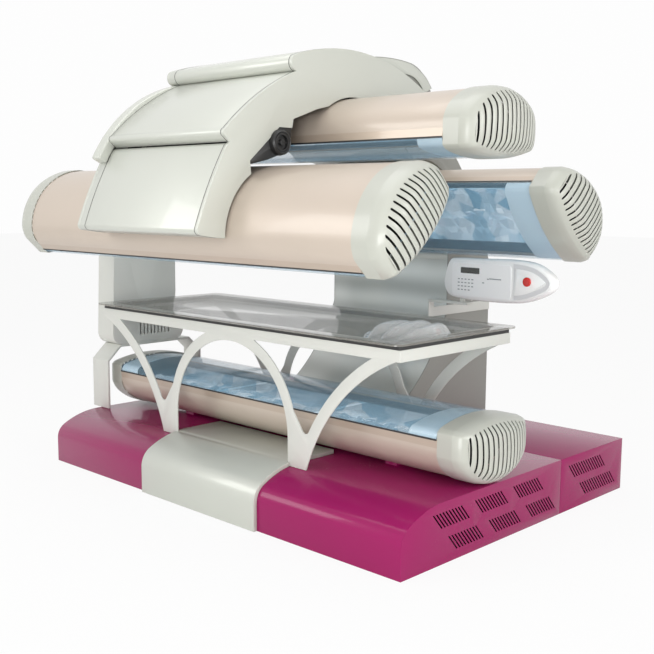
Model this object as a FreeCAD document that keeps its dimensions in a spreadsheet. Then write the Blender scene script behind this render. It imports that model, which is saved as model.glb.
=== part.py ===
"""Clamshell tanning bed: a bench on a low base, a rear column and a lifting canopy.

Millimetres, +Z up.  The origin is the middle of the base's footprint, on the floor.
The user steps in from -Y and lies along X with the head towards +X.
"""
import FreeCAD, Part
import math
import os
import re

import Sketcher

SIZES = {
    # Base
    "base_half_length": 1130,
    "base_half_width": 797,
    "deck_height": 237,
    "nose_upright": 118,
    "nose_radius": 75,
    "nose_sweep": 60,
    "top_radius": "=(deck_height - nose_upright - nose_radius*sin(nose_sweep))/(1 - sin(nose_sweep))",
    "top_centre": "=nose_radius*(1 - cos(nose_sweep)) + top_radius*cos(nose_sweep) - base_half_width",
    "base_seam": 260,
    "seam_gap": 2,
    "base_skin": 3,
    "floor_plate": 3,
    "slot_lean": 53,
    "slot_drop": 60,
    "slot_wide": 9,
    "slot_pitch": 18.6,
    "slot_count": 10,
    "slot_group": 258,
    "slot_top_front": 198,
    "slot_low_front": 98,
    "slot_start_top": -621,
    "slot_start_low": -526,
    "slot_count_rear": 14,
    "slot_pitch_rear": 20,
    "slot_start_rear": 321,
    "slot_start_rear_low": 418,
    "slot_low_rear": 103,
    "saddle_half": 381.5,
    "saddle_proud": 18,
    "saddle_back": -352,
    "saddle_notch": 1,
    "ballast_length": 1500,
    "ballast_middle": 350,
    "ballast_width": 260,
    "ballast_height": 110,
    # Lamp tubes: the three large ones share a section, the lower one has its own
    "tube_half_length": 1030,
    "tube_skin": 3,
    "facet": 35,
    "facet_tilt": 4,
    "lip_height": 6,
    "large_half": 245,
    "large_foot": "=large_half - facet_tilt",
    "large_depth": 204,
    "large_haunch": 120,
    "large_crown": "=(large_foot^2 + (large_depth - facet)^2 - 2*large_foot*large_haunch)"
                   "/(2*(large_depth - facet - large_haunch))",
    "large_rise": 118,
    "large_shoulder": 70,
    "large_dome": "=(large_half^2 + large_rise^2 - 2*large_half*large_shoulder)"
                  "/(2*(large_rise - large_shoulder))",
    "lower_half": 226,
    "lower_foot": "=lower_half - facet_tilt",
    "lower_depth": 192,
    "lower_haunch": 120,
    "lower_crown": "=(lower_foot^2 + (lower_depth - facet)^2 - 2*lower_foot*lower_haunch)"
                   "/(2*(lower_depth - facet - lower_haunch))",
    "lower_rise": 65,
    "lower_shoulder": 40,
    "lower_dome": "=(lower_half^2 + lower_rise^2 - 2*lower_half*lower_shoulder)"
                  "/(2*(lower_rise - lower_shoulder))",
    "lower_y": -252,
    "lower_z": 437,
    "lower_turn": 0,
    "front_y": -739,
    "front_z": 1250,
    "front_turn": 135,
    "top_y": -257,
    "top_z": 1547,
    "top_turn": 180,
    "back_y": 273,
    "back_z": 1269,
    "back_turn": 225,
    "cap_proud": 3,
    "cap_ring": 70,
    "cap_brow": 102,
    "cap_brow_share": 0.955,
    "cap_shoulder": 124,
    "cap_shoulder_share": 0.86,
    "cap_tip": 170,
    "cap_tip_share": 0.72,
    "cap_over": 10,
    "cap_sphere": 490,
    "cap_wall": 6,
    "louvre_pitch": 27,
    "louvre_wide": 10,
    "louvre_count": 13,
    "louvre_reach": 0.77,
    "louvre_start": 90,
    "tray_half": 195,
    "tray_flange": 30,
    "tray_floor": 120,
    "tray_top": 22,
    "tray_deep": 73,
    "tray_skin": 1.5,
    "pane_half": 180,
    "pane_gap": 40,
    "pane_end_gap": 57,
    "pane_length": "=(2*(tube_half_length - tube_skin) - 2*pane_gap - 2*pane_end_gap)/3",
    "pane_pitch": "=pane_length + pane_gap",
    "pane_thick": 4,
    "burner_radius": 9,
    "burner_length": 150,
    "burner_rise": 32,
    "holder_size": 24,
    "holder_length": 30,
    "fan_pin": 5,
    "fan_pin_length": 30,
    "fan_play": 0.05,
    "fan_hub": 22,
    "fan_hub_length": 22,
    "fan_tip": 88,
    "fan_blade": 30,
    "fan_blade_thick": 2.4,
    "fan_blades": 5,
    "fan_pitch": 35,
    "fan_drop": 40,
    "fan_gap": 4,
    # Column
    "column_half": 375,
    "column_plate": 4,
    "column_skin": 3,
    "column_toe": 115,
    "column_ankle_y": 140,
    "column_ankle_z": 405,
    "column_sweep": 894,
    "column_waist_y": 438,
    "column_waist_z": 790,
    "column_foot": 10,
    "column_seam_z": 1040,
    "column_chest_z": 1065,
    "recess_lip_y": 456,
    "recess_lip_z": 1086,
    "recess_gap": 14,
    "recess_end": 25,
    "pivot_y": 103,
    "pivot_z": 1735,
    "head_inner": 140,
    "head_outer": 195,
    "head_open": 230,
    "head_top": 100,
    "head_rear": -12,
    "spine_y": 320,
    "spine_z": 1670,
    "spine_radius": 1280,
    "heel_y": 785,
    "heel_z": 1000,
    "shaft_radius": 20,
    "shaft_half": 390,
    "bush_radius": 26,
    "bush_play": 0.05,
    "bush_flange": 32,
    "bush_flange_thick": 2,
    # Bench
    "bench_half": 964,
    "bench_front": -617,
    "bench_rear": 96,
    "fascia_plate": 6,
    "rail_low": 735,
    "rail_top": 780,
    "arch_radius": 370,
    "arch_centre": 346,
    "band_radius": 420,
    "strut_x": 1262,
    "strut_z": -26,
    "strut_outer": 826,
    "strut_inner": 878,
    "window_side_x": 400,
    "window_foot_x": 455,
    "window_foot_z": 395,
    "window_round": 22,
    "window_turn_z": 400,
    "pan_end_over": 20,
    "pan_side_over": 36,
    "pan_half": "=bench_half + pan_end_over",
    "pan_front": "=bench_front - pan_side_over",
    "pan_rear": "=bench_rear + pan_side_over",
    "pan_top": 806,
    "pan_lip": 8,
    "pan_corner": 45,
    "pan_rim": 62,
    "pan_slope": 70,
    "pan_depth": 24,
    "pan_skin": 6,
    "seal_width": 14,
    "seal_corner": 15,
    "pillow_end_gap": 24,
    "pillow_length": 340,
    "pillow_width": 360,
    "pillow_offset": -89,
    "pillow_right": "=pan_half - pillow_end_gap",
    "pillow_left": "=pillow_right - pillow_length",
    "pillow_middle": "=(pan_front + pan_rear)/2 + pillow_offset",
    "pillow_horn": 150,
    "pillow_horn_half": 140,
    "pillow_corner": 110,
    "pillow_sweep": 260,
    "pillow_throat": 50,
    "pillow_throat_radius": 60,
    "pillow_height": 44,
    "pillow_foot": 130,
    "pillow_foot_gap": 6,
    "pillow_foot_rise": 5,
    # Canopy arm
    "arm_half": 400,
    "cheek_thick": 16,
    "frame_plate": 6,
    "arm_skin": 4,
    "cover_back_y": -1002,
    "cover_back_z": 1180,
    "cover_toe_y": -1078,
    "cover_toe_z": 1191,
    "cover_lip_y": -1099,
    "cover_lip_z": 1213,
    "cover_lip_radius": 22,
    "cover_seam_y": -955,
    "cover_seam_z": 1522,
    "cover_low_radius": 1675,
    "ridge_under_y": -938,
    "ridge_under_z": 1534,
    "ridge_nose_y": -968,
    "ridge_nose_z": 1558,
    "ridge_top_y": -960,
    "ridge_top_z": 1584,
    "ridge_radius": 16,
    "cover_end_y": -598,
    "cover_end_z": 1822,
    "cover_top_radius": 1118,
    "roof_radius": 1000,
    "roof_centre_y": -290,
    "roof_centre_z": 936,
    "roll_top_y": -600,
    "roll_top_z": "=roof_centre_z + sqrt(roof_radius^2 - (roll_top_y - roof_centre_y)^2)",
    "roll_radius": "=0.51*(roll_top_z - cover_end_z)",
    "roof_end_y": -26,
    "roof_end_z": "=roof_centre_z + sqrt(roof_radius^2 - (roof_end_y - roof_centre_y)^2)",
    "hood_outer": 205,
    "hood_eye": 140,
    "hood_front": 124,
    "hood_rear": 28,
    "hood_half": 381,
    "liner_rear_y": -481,
    "liner_rear_z": 1683,
    "liner_step_y": -613,
    "liner_step_z": 1636,
    "liner_tab_y": -620,
    "liner_shelf_z": 1601,
    "liner_shelf_y": -688,
    "liner_knee_y": -750,
    "liner_knee_z": 1546,
    "liner_front_y": -841,
    "liner_front_z": 1468,
    "toe_gap": 10,
    "toe_near": 60,
    "toe_sweep": 50,
    "heel_sweep": 50,
    "shell_gap": 6,
    "cheek_rear": 125,
    "hanger_width": 60,
    "hanger_x": 250,
    "hanger_half": 60,
    "hanger_rise": 31,
    "bar_size": 25,
    "bar_half": 22,
    "arm_front_reach": 156,
    "frame_gap": 14,
    "frame_bar_half": 45,
    "frame_bar_near": 60,
    "frame_bar_inset": 5,
    "frame_bar_over": 8,
    "frame_knee_y": -800,
    "frame_knee_z": 1600,
    "frame_brow_y": -560,
    "frame_brow_z": 1780,
    "frame_top_z": 1850,
    "frame_low_y": -490,
    "frame_low_z": 1702,
    "frame_step_y": -640,
    "frame_step_z": 1640,
    "frame_shelf_y": -700,
    "frame_shelf_z": 1614,
    "frame_front_z": 1530,
    "nozzle_y": -689,
    "nozzle_z": 1542,
    "nozzle_plate_start": 388,
    "nozzle_plate_thick": 8,
    "nozzle_plate_tip_y": -632,
    "nozzle_plate_tip_z": 1520,
    "plate_low_z": 1494,
    "plate_heel_z": 1474,
    "plate_toe_z": 1456,
    "nozzle_radius": 36,
    "nozzle_rim": 28,
    "nozzle_boss": 12,
    "nozzle_play": 0.5,
    "nozzle_width": 22,
    "nozzle_floor": 8,
    "nozzle_vane": 6,
    "nozzle_pin_radius": 6,
    "cradle_x": 640,
    # Left tower
    "tower_wall": 4,
    "tower_foot_front": -440,
    "tower_foot_rear": -85,
    "tower_front": -500,
    "tower_rear": -50,
    "tower_sill": 625,
    "tower_round": 60,
    "tower_lean_front": -485,
    "tower_lean_z": 1020,
    "tower_neck": -97,
    "tower_neck_low": 820,
    "tower_hip_z": 650,
    "tower_hip_round": 200,
    "tower_top": 1300,
    "tower_top_round": 30,
    "tower_top_front": -458,
    "tower_top_rear": -128,
    "tower_inset": 20,
    "grille_count": 9,
    "grille_start": -332,
    "grille_pitch": 22.5,
    "grille_wide": 8,
    "grille_low": 608,
    "grille_top": 680,
    "tower_set": 30,
    "tower_width": 140,
    "tower_right": "=-1*(tube_half_length + tower_set)",
    "tower_left": "=tower_right - tower_width",
    "yoke_thick": 12,
    "yoke_front": -537,
    "yoke_rear": 73,
    "yoke_knee": 490,
    "yoke_top": 565,
    "yoke_slope": 80,
    # Control pod
    "pod_y": 310,
    "pod_thick": 56,
    "pod_top_left_x": -82,
    "pod_top_left_z": 1041,
    "pod_top_right_x": 329,
    "pod_top_right_z": 1062,
    "pod_tip_x": 505,
    "pod_tip_z": 979,
    "pod_top_radius": 190,
    "pod_low_right_x": 293,
    "pod_low_right_z": 876,
    "pod_low_radius": 270,
    "pod_foot_x": 85,
    "pod_foot_z": 870,
    "pod_low_left_x": -76,
    "pod_low_left_z": 884,
    "pod_end_x": -114,
    "pod_end_z": 960,
    "pod_end_low_radius": 75,
    "pod_end_top_radius": 95,
    "face_left_x": -50,
    "face_top_left_z": 1028,
    "face_top_right_x": 322,
    "face_top_right_z": 1045,
    "face_tip_x": 442,
    "face_top_radius": 150,
    "face_low_right_x": 285,
    "face_low_right_z": 893,
    "face_low_radius": 230,
    "face_low_left_z": 900,
    "pod_turn": 5,
    "face_thick": 3,
    "button_lift": 6,
    "button_thick": 10,
    "post_x": 560,
    "post_radius": 12,
    "post_play": 0.05,
    "post_height": 40,
    "shelf_z": 862,
    "shelf_thick": 12,
    "shelf_half": 20,
    "shelf_over": 40,
    "bracket_low": 777,
    "bracket_top": 823,
    "bracket_rear": 783,
    "bracket_thick": 6,
    "button_radius": 20,
    "button_stem": 9,
    "button_play": 0.1,
    "button_x": 392,
    "button_z": 981,
}

doc = FreeCAD.newDocument("TanningBed")
sheet = doc.addObject("Spreadsheet::Sheet", "Sizes")
for row, (size_name, size_value) in enumerate(SIZES.items(), 1):
    sheet.set(f"A{row}", size_name)
    sheet.set(f"B{row}", str(size_value))
    sheet.setAlias(f"B{row}", size_name)
doc.recompute()

PLANES = {
    "side": (FreeCAD.Rotation(FreeCAD.Vector(1, 1, 1), 120), "x", FreeCAD.Vector(1, 0, 0), "YZ_Plane"),
    "front": (FreeCAD.Rotation(FreeCAD.Vector(1, 0, 0), 90), "y", FreeCAD.Vector(0, 1, 0), "XZ_Plane"),
    "top": (FreeCAD.Rotation(), "z", FreeCAD.Vector(0, 0, 1), "XY_Plane"),
}
NODES = []


def cells(expression):
    """The expression with every size's name turned into its cell in the sheet."""
    def cell(found):
        return "Sizes." + found.group(0) if found.group(0) in SIZES else found.group(0)
    return re.sub(r"[a-z_][a-z_0-9]*", cell, str(expression))


def amount(expression):
    """The value of an expression of named sizes."""
    return float(sheet.evalExpression(cells(expression)))


def bind(item, name, expression):
    """Drive one property of an object from the sheet."""
    item.setExpression(name, cells(expression))


def node(label, item):
    """Name a finished sub-part and list it for writing."""
    item.Label = label
    NODES.append(item)
    return item


# ---------------------------------------------------------------- sketches
def segment(begin, finish, radius):
    """A line, or a short arc that turns left for a positive radius and right for a negative one."""
    first = FreeCAD.Vector(begin[0], begin[1], 0)
    last = FreeCAD.Vector(finish[0], finish[1], 0)
    if not radius:
        return Part.LineSegment(first, last)
    chord = last - first
    left = FreeCAD.Vector(-chord.y, chord.x, 0).normalize()
    rise = math.sqrt(max(radius * radius - chord.Length ** 2 / 4, 0))
    centre = (first + last) * 0.5 + left * math.copysign(rise, radius)
    circle = Part.Circle(centre, FreeCAD.Vector(0, 0, 1), abs(radius))
    start, stop = (first, last) if radius > 0 else (last, first)
    begin_angle = math.atan2(start.y - centre.y, start.x - centre.x)
    end_angle = math.atan2(stop.y - centre.y, stop.x - centre.x)
    if end_angle <= begin_angle:
        end_angle += 2 * math.pi
    return Part.ArcOfCircle(circle, begin_angle, end_angle)


def fix_corner(sketch, index, side, place):
    """Hold one end of a sketch's curve at a place given by two expressions."""
    for kind, expression in zip(("DistanceX", "DistanceY"), place):
        number = sketch.addConstraint(Sketcher.Constraint(kind, index, side, amount(expression)))
        sketch.setExpression(f"Constraints[{number}]", cells(expression))


def draw(sketch, steps, closed):
    """Draw lines and arcs through the steps: (across, up) or (across, up, radius)."""
    places = [step[:2] for step in steps]
    values = [(amount(place[0]), amount(place[1])) for place in places]
    first = sketch.GeometryCount
    count = len(steps) - 1
    ends = []
    for number in range(count):
        size = steps[number + 1][2] if len(steps[number + 1]) > 2 else None
        radius = amount(size) if size is not None else 0
        index = sketch.addGeometry(segment(values[number], values[number + 1], radius), False)
        ends.append((1, 2) if radius >= 0 else (2, 1))
        if radius:
            held = sketch.addConstraint(Sketcher.Constraint("Radius", index, abs(radius)))
            sketch.setExpression(f"Constraints[{held}]", cells(f"abs({size})"))
    for number in range(count):
        index = first + number
        fix_corner(sketch, index, ends[number][0], places[number])
        if number + 1 < count or closed:
            following = (number + 1) % count
            joint = Sketcher.Constraint("Coincident", index, ends[number][1], first + following,
                                        ends[following][0])
            sketch.addConstraint(joint)
        else:
            fix_corner(sketch, index, ends[number][1], places[-1])


def sketch_on(plane, label, outlines, place="0", closed=True):
    """A free sketch on a side, front or top plane at a place along that plane's normal."""
    turn, along = PLANES[plane][:2]
    sketch = doc.addObject("Sketcher::SketchObject", label)
    sketch.Placement = FreeCAD.Placement(FreeCAD.Vector(), turn)
    bind(sketch, f"Placement.Base.{along}", place)
    for steps in outlines:
        draw(sketch, steps, closed)
    return sketch


def prism(label, plane, outlines, start, length):
    """A solid drawn on a plane and drawn out from start along the plane's positive axis."""
    sketch = sketch_on(plane, label + "_outline", outlines, start)
    solid = doc.addObject("Part::Extrusion", label)
    solid.Base = sketch
    solid.DirMode = "Custom"
    solid.Dir = PLANES[plane][2]
    solid.Solid = True
    bind(solid, "LengthFwd", length)
    return solid


def inner_point(sketch, steps, thickness):
    """A point in the wall that lies to the right of the first stretch of a path."""
    first, last = [(amount(step[0]), amount(step[1])) for step in steps[:2]]
    curve = segment(first, last, amount(steps[1][2]) if len(steps[1]) > 2 else 0)
    if isinstance(curve, Part.LineSegment):
        middle = FreeCAD.Vector(first[0] + last[0], first[1] + last[1], 0) * 0.5
    else:
        middle = curve.value((curve.FirstParameter + curve.LastParameter) / 2)
    right = FreeCAD.Vector(last[1] - first[1], first[0] - last[0], 0).normalize()
    return sketch.Placement.multVec(middle + right * (thickness / 2))


def bent_sheet(label, plane, steps, thickness, start, length):
    """A folded or rolled sheet: an open path, thickened to the right of its travel."""
    sketch = sketch_on(plane, label + "_path", [steps], start, closed=False)
    face = doc.addObject("Part::Offset2D", label + "_section")
    face.Source = sketch
    face.Mode = "Skin"
    face.Join = "Intersection"
    face.Fill = True
    bind(face, "Value", thickness)
    doc.recompute([sketch, face])
    if not face.Shape.isInside(inner_point(sketch, steps, amount(thickness)), 0.01, True):
        bind(face, "Value", f"-1*({thickness})")
    solid = doc.addObject("Part::Extrusion", label)
    solid.Base = face
    solid.DirMode = "Custom"
    solid.Dir = PLANES[plane][2]
    solid.Solid = True
    bind(solid, "LengthFwd", length)
    return solid


def body_plate(label, plane, outlines, start, thickness):
    """A plate made as a body with one sketch and one pad, standing at start."""
    along, role = PLANES[plane][1], PLANES[plane][3]
    body = doc.addObject("PartDesign::Body", label)
    sketch = body.newObject("Sketcher::SketchObject", label + "_outline")
    origin = [plane for plane in body.Origin.OriginFeatures if plane.Role == role][0]
    sketch.AttachmentSupport = [(origin, "")]
    sketch.MapMode = "FlatFace"
    for steps in outlines:
        draw(sketch, steps, True)
    pad = body.newObject("PartDesign::Pad", label + "_pad")
    pad.Profile = sketch
    pad.Reversed = plane == "front"
    bind(pad, "Length", thickness)
    bind(body, f"Placement.Base.{along}", start)
    return body


def slot_row(body, label, corner, count, pitch):
    """A row of leaning louvre slots pocketed through a side plate."""
    across, up = corner
    sketch = body.newObject("Sketcher::SketchObject", label)
    origin = [plane for plane in body.Origin.OriginFeatures if plane.Role == "YZ_Plane"][0]
    sketch.AttachmentSupport = [(origin, "")]
    sketch.MapMode = "FlatFace"
    top = [(across, up), (f"{across} + slot_wide", up)]
    low = [(f"{across} + slot_wide + slot_lean", f"{up} - slot_drop"),
           (f"{across} + slot_lean", f"{up} - slot_drop")]
    draw(sketch, top + low + [top[0]], True)
    pocket = body.newObject("PartDesign::Pocket", label + "_cut")
    pocket.Profile = sketch
    pocket.Type = "ThroughAll"
    pocket.Midplane = True
    row = body.newObject("PartDesign::LinearPattern", label + "_row")
    row.Originals = [pocket]
    row.Direction = (sketch, ["H_Axis"])
    bind(row, "Length", f"({count} - 1)*{pitch}")
    bind(row, "Occurrences", count)
    body.Tip = row


# ---------------------------------------------------------------- solids and booleans
def box(label, x_range, y_range, z_range):
    """A block between two places along each axis."""
    block = doc.addObject("Part::Box", label)
    for side, along, (low, high) in zip(("Length", "Width", "Height"), "xyz", (x_range, y_range, z_range)):
        bind(block, side, f"({high}) - ({low})")
        bind(block, f"Placement.Base.{along}", low)
    return block


def rod(label, radius, x_range, across, up):
    """A round bar along X."""
    bar = doc.addObject("Part::Cylinder", label)
    bar.Placement = FreeCAD.Placement(FreeCAD.Vector(), FreeCAD.Rotation(FreeCAD.Vector(0, 1, 0), 90))
    bind(bar, "Radius", radius)
    bind(bar, "Height", f"({x_range[1]}) - ({x_range[0]})")
    bind(bar, "Placement.Base.x", x_range[0])
    bind(bar, "Placement.Base.y", across)
    bind(bar, "Placement.Base.z", up)
    return bar


def fuse(label, parts):
    """One solid from several."""
    joined = doc.addObject("Part::MultiFuse", label)
    joined.Shapes = parts
    joined.Refine = True
    return joined


def cut(label, base, tool):
    """The base with the tool taken away."""
    less = doc.addObject("Part::Cut", label)
    less.Base = base
    less.Tool = tool
    return less


def group(label, parts):
    """Separate solids kept together in one sub-part."""
    bundle = doc.addObject("Part::Compound", label)
    bundle.Links = parts
    return bundle


def mirrored(label, source):
    """The same solid on the other side of the bed's middle."""
    twin = doc.addObject("Part::Mirroring", label)
    twin.Source = source
    twin.Normal = FreeCAD.Vector(1, 0, 0)
    return twin


def pair(label, source):
    """A solid and its mirror image across the bed's middle."""
    return group(label, [source, mirrored(label + "_twin", source)])


def tube_place(tube, across, depth):
    """Side-view place of a point given across a tube's mouth and along its outward axis."""
    return (f"{tube}_y + ({across})*cos({tube}_turn) + ({depth})*sin({tube}_turn)",
            f"{tube}_z - ({across})*sin({tube}_turn) + ({depth})*cos({tube}_turn)")


# ---------------------------------------------------------------- base
def base_front_path(proud):
    """From the floor up the nose and back over the deck to the seam."""
    side = f"-1*(base_half_width + {proud})"
    nose_y = f"nose_radius - base_half_width - (nose_radius + {proud})*cos(nose_sweep)"
    nose_z = f"nose_upright + (nose_radius + {proud})*sin(nose_sweep)"
    return [(side, "0"), (side, "nose_upright"), (nose_y, nose_z, f"-(nose_radius + {proud})"),
            ("top_centre", f"deck_height + {proud}", f"-(top_radius + {proud})")]


def make_cradle():
    """A block on the deck that carries the lower tube's shell."""
    rise = "lower_crown - lower_depth - sqrt(lower_crown^2 - hanger_half^2)"
    floor = "deck_height - lower_z"
    steps = [tube_place("lower", "-hanger_half", rise), tube_place("lower", "-hanger_half", floor),
             tube_place("lower", "hanger_half", floor), tube_place("lower", "hanger_half", rise),
             tube_place("lower", "-hanger_half", rise) + ("-lower_crown",)]
    return prism("cradle", "side", [steps], "cradle_x", "hanger_width")


def make_base():
    """Front shell, rear cabinet, floor pan, ballast and the saddle over the nose."""
    length = "2*base_half_length"
    seam = "base_seam - seam_gap"
    front_path = base_front_path(0) + [(seam, "deck_height")]
    skin = bent_sheet("front_skin", "side", front_path, "base_skin", "-base_half_length", length)
    front_end = body_plate("front_end", "side", [front_path + [(seam, "0"), front_path[0]]],
                           "base_half_length - base_skin", "base_skin")
    for number in range(3):
        for row, start, up in (("top", "slot_start_top", "slot_top_front"),
                               ("low", "slot_start_low", "slot_low_front")):
            slot_row(front_end, f"front_{row}_{number}", (f"{start} + {number}*slot_group", up),
                     "slot_count", "slot_pitch")
    ends = [front_end, mirrored("front_end_left", front_end)]
    cradle = make_cradle()
    cradles = [cradle, mirrored("cradle_left", cradle)]
    node("base_front_shell", fuse("base_front", [skin] + ends + cradles))

    rear_path = [("base_seam", "deck_height"), ("base_half_width", "deck_height"), ("base_half_width", "0")]
    rear_skin = bent_sheet("rear_skin", "side", rear_path, "base_skin", "-base_half_length", length)
    rear_end = body_plate("rear_end", "side", [rear_path + [("base_seam", "0"), rear_path[0]]],
                          "base_half_length - base_skin", "base_skin")
    slot_row(rear_end, "rear_top", ("slot_start_rear", "slot_top_front"), "slot_count_rear",
             "slot_pitch_rear")
    slot_row(rear_end, "rear_low", ("slot_start_rear_low", "slot_low_rear"), "slot_count_rear",
             "slot_pitch_rear")
    rear_ends = [rear_end, mirrored("rear_end_left", rear_end)]
    node("base_rear_cabinet", fuse("base_rear", [rear_skin] + rear_ends))

    inner_x = "base_half_length - base_skin"
    inner_y = "base_half_width - base_skin"
    node("floor_pan", box("floor", (f"-({inner_x})", inner_x), (f"-({inner_y})", inner_y),
                          ("0", "floor_plate")))
    weights = []
    for number, place in enumerate(("-ballast_middle", "ballast_middle")):
        weights.append(box(f"ballast_{number}", ("-ballast_length/2", "ballast_length/2"),
                           (f"{place} - ballast_width/2", f"{place} + ballast_width/2"),
                           ("floor_plate", "floor_plate + ballast_height")))
    node("ballast_blocks", group("ballast", weights))

    back = ("saddle_back", "deck_height + saddle_proud")
    over = base_front_path("saddle_proud") + [back]
    under = base_front_path(0) + [("saddle_back", "deck_height")]
    hide = bent_sheet("saddle_skin", "side", over, "base_skin", "-saddle_half", "2*saddle_half")
    wall_steps = over + [under[-1]] + [(under[3][0], under[3][1]), (under[2][0], under[2][1], "top_radius"),
                                       (under[1][0], under[1][1], "nose_radius"), under[0], over[0]]
    wall = prism("saddle_wall", "side", [wall_steps], "saddle_half - base_skin", "base_skin")
    rear_wall = box("saddle_rear", ("-saddle_half", "saddle_half"),
                    ("saddle_back - base_skin", "saddle_back"), ("deck_height", back[1]))
    saddle = fuse("saddle", [hide, wall, mirrored("saddle_wall_left", wall), rear_wall])
    notch = box("saddle_notch", ("arch_radius - saddle_notch", "saddle_half + saddle_notch"),
                ("bench_front - saddle_notch", "bench_front + fascia_plate + saddle_notch"),
                ("nose_upright", "deck_height + 2*saddle_proud"))
    node("saddle_cover", cut("saddle_notched", saddle, pair("saddle_notches", notch)))


# ---------------------------------------------------------------- lamp tubes
def shell_steps(kind, inset):
    """The shell side of a section: right lip, facet, haunch, crown and back up to the left lip."""
    crown, haunch, foot = f"({kind}_crown - ({inset}))", f"{kind}_haunch", f"{kind}_foot"
    share = f"{crown}/({kind}_crown - {haunch})"
    reach = f"({share}*({foot} - {haunch}))"
    drop = f"({kind}_crown - {kind}_depth - {share}*({kind}_crown + facet - {kind}_depth))"
    turn = f"({haunch} - ({inset}))"
    lip, side = f"({kind}_half - ({inset}))", f"({foot} - ({inset}))"
    return [(lip, "0"), (lip, "-lip_height"), (side, "-facet"),
            (reach, drop, f"-1*{turn}"), (f"-1*{reach}", drop, f"-1*{crown}"),
            (f"-1*{side}", "-facet", f"-1*{turn}"), (f"-1*{lip}", "-lip_height"), (f"-1*{lip}", "0")]


def dome_steps(kind, inset):
    """The acrylic side of a section, from the left lip over the dome to the right lip."""
    crown, shoulder = f"({kind}_dome - ({inset}))", f"{kind}_shoulder"
    share = f"{crown}/({kind}_dome - {shoulder})"
    reach = f"({share}*({kind}_half - {shoulder}))"
    lift = f"({kind}_rise - {kind}_dome + {share}*({kind}_dome - {kind}_rise))"
    turn = f"({shoulder} - ({inset}))"
    side = f"({kind}_half - ({inset}))"
    return [(f"-1*{side}", "0"), (f"-1*{reach}", lift, f"-1*{turn}"), (reach, lift, f"-1*{crown}"),
            (side, "0", f"-1*{turn}")]


def scaled(steps, middle, share):
    """The steps shrunk about a point on the section's middle line."""
    shrunk = []
    for step in steps:
        place = [f"({step[0]})*{share}", f"(({step[1]}) - ({middle}))*{share} + ({middle})"]
        if len(step) > 2:
            place.append(f"({step[2]})*{share}")
        shrunk.append(tuple(place))
    return shrunk


def section(kind, inset):
    """The whole closed section of a tube."""
    return shell_steps(kind, inset) + dome_steps(kind, inset)[1:]


def cap_solid(label, kind, inset, pull):
    """A ring with a rounded rim under a part of a sphere; inset and pull give the hollow inside it."""
    middle = f"({kind}_rise - {kind}_depth)/2"
    outline = section(kind, inset)
    rings = (("0", "1"), ("cap_ring", "1"), (f"cap_brow - {pull}/2", "cap_brow_share"),
             (f"cap_shoulder - {pull}", "cap_shoulder_share"),
             (f"cap_tip + cap_over - {pull}", "cap_tip_share"))
    stations = []
    for number, (place, share) in enumerate(rings):
        stations.append(sketch_on("side", f"{label}_station_{number}", [scaled(outline, middle, share)],
                                  f"tube_half_length + {place}"))
    stack = doc.addObject("Part::Loft", label + "_stack")
    stack.Sections = stations
    stack.Solid = True
    stack.Ruled = True
    ball = doc.addObject("Part::Sphere", label + "_ball")
    bind(ball, "Radius", f"cap_sphere - {pull}")
    bind(ball, "Placement.Base.x", "tube_half_length + cap_tip - cap_sphere")
    bind(ball, "Placement.Base.z", middle)
    domed = doc.addObject("Part::Common", label)
    domed.Base = stack
    domed.Tool = ball
    return domed


def make_cap(kind):
    """Louvred domed cap for the right end of a tube, in the tube's own frame."""
    outer = cap_solid(kind + "_cap_outer", kind, "-cap_proud", "0")
    inner = cap_solid(kind + "_cap_inner", kind, "cap_wall - cap_proud", "cap_wall")
    hollow = cut(kind + "_cap_hollow", outer, inner)
    bars = []
    begin = "tube_half_length + louvre_start"
    for number in range(int(amount("louvre_count"))):
        place = f"({number} - (louvre_count - 1)/2)*louvre_pitch"
        bars.append(box(f"{kind}_louvre_{number}", (begin, f"{begin} + cap_tip"),
                        (f"{place} - louvre_wide/2", f"{place} + louvre_wide/2"),
                        (f"-{kind}_depth", f"{kind}_rise")))
    reach = prism(kind + "_louvre_reach", "side",
                  [scaled(section(kind, 0), f"({kind}_rise - {kind}_depth)/2", "louvre_reach")],
                  begin, "cap_tip")
    limited = doc.addObject("Part::Common", kind + "_louvre_tool")
    limited.Base = group(kind + "_louvres", bars)
    limited.Tool = reach
    cap = cut(kind + "_cap", hollow, limited)
    return pair(kind + "_caps", cap)


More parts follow.
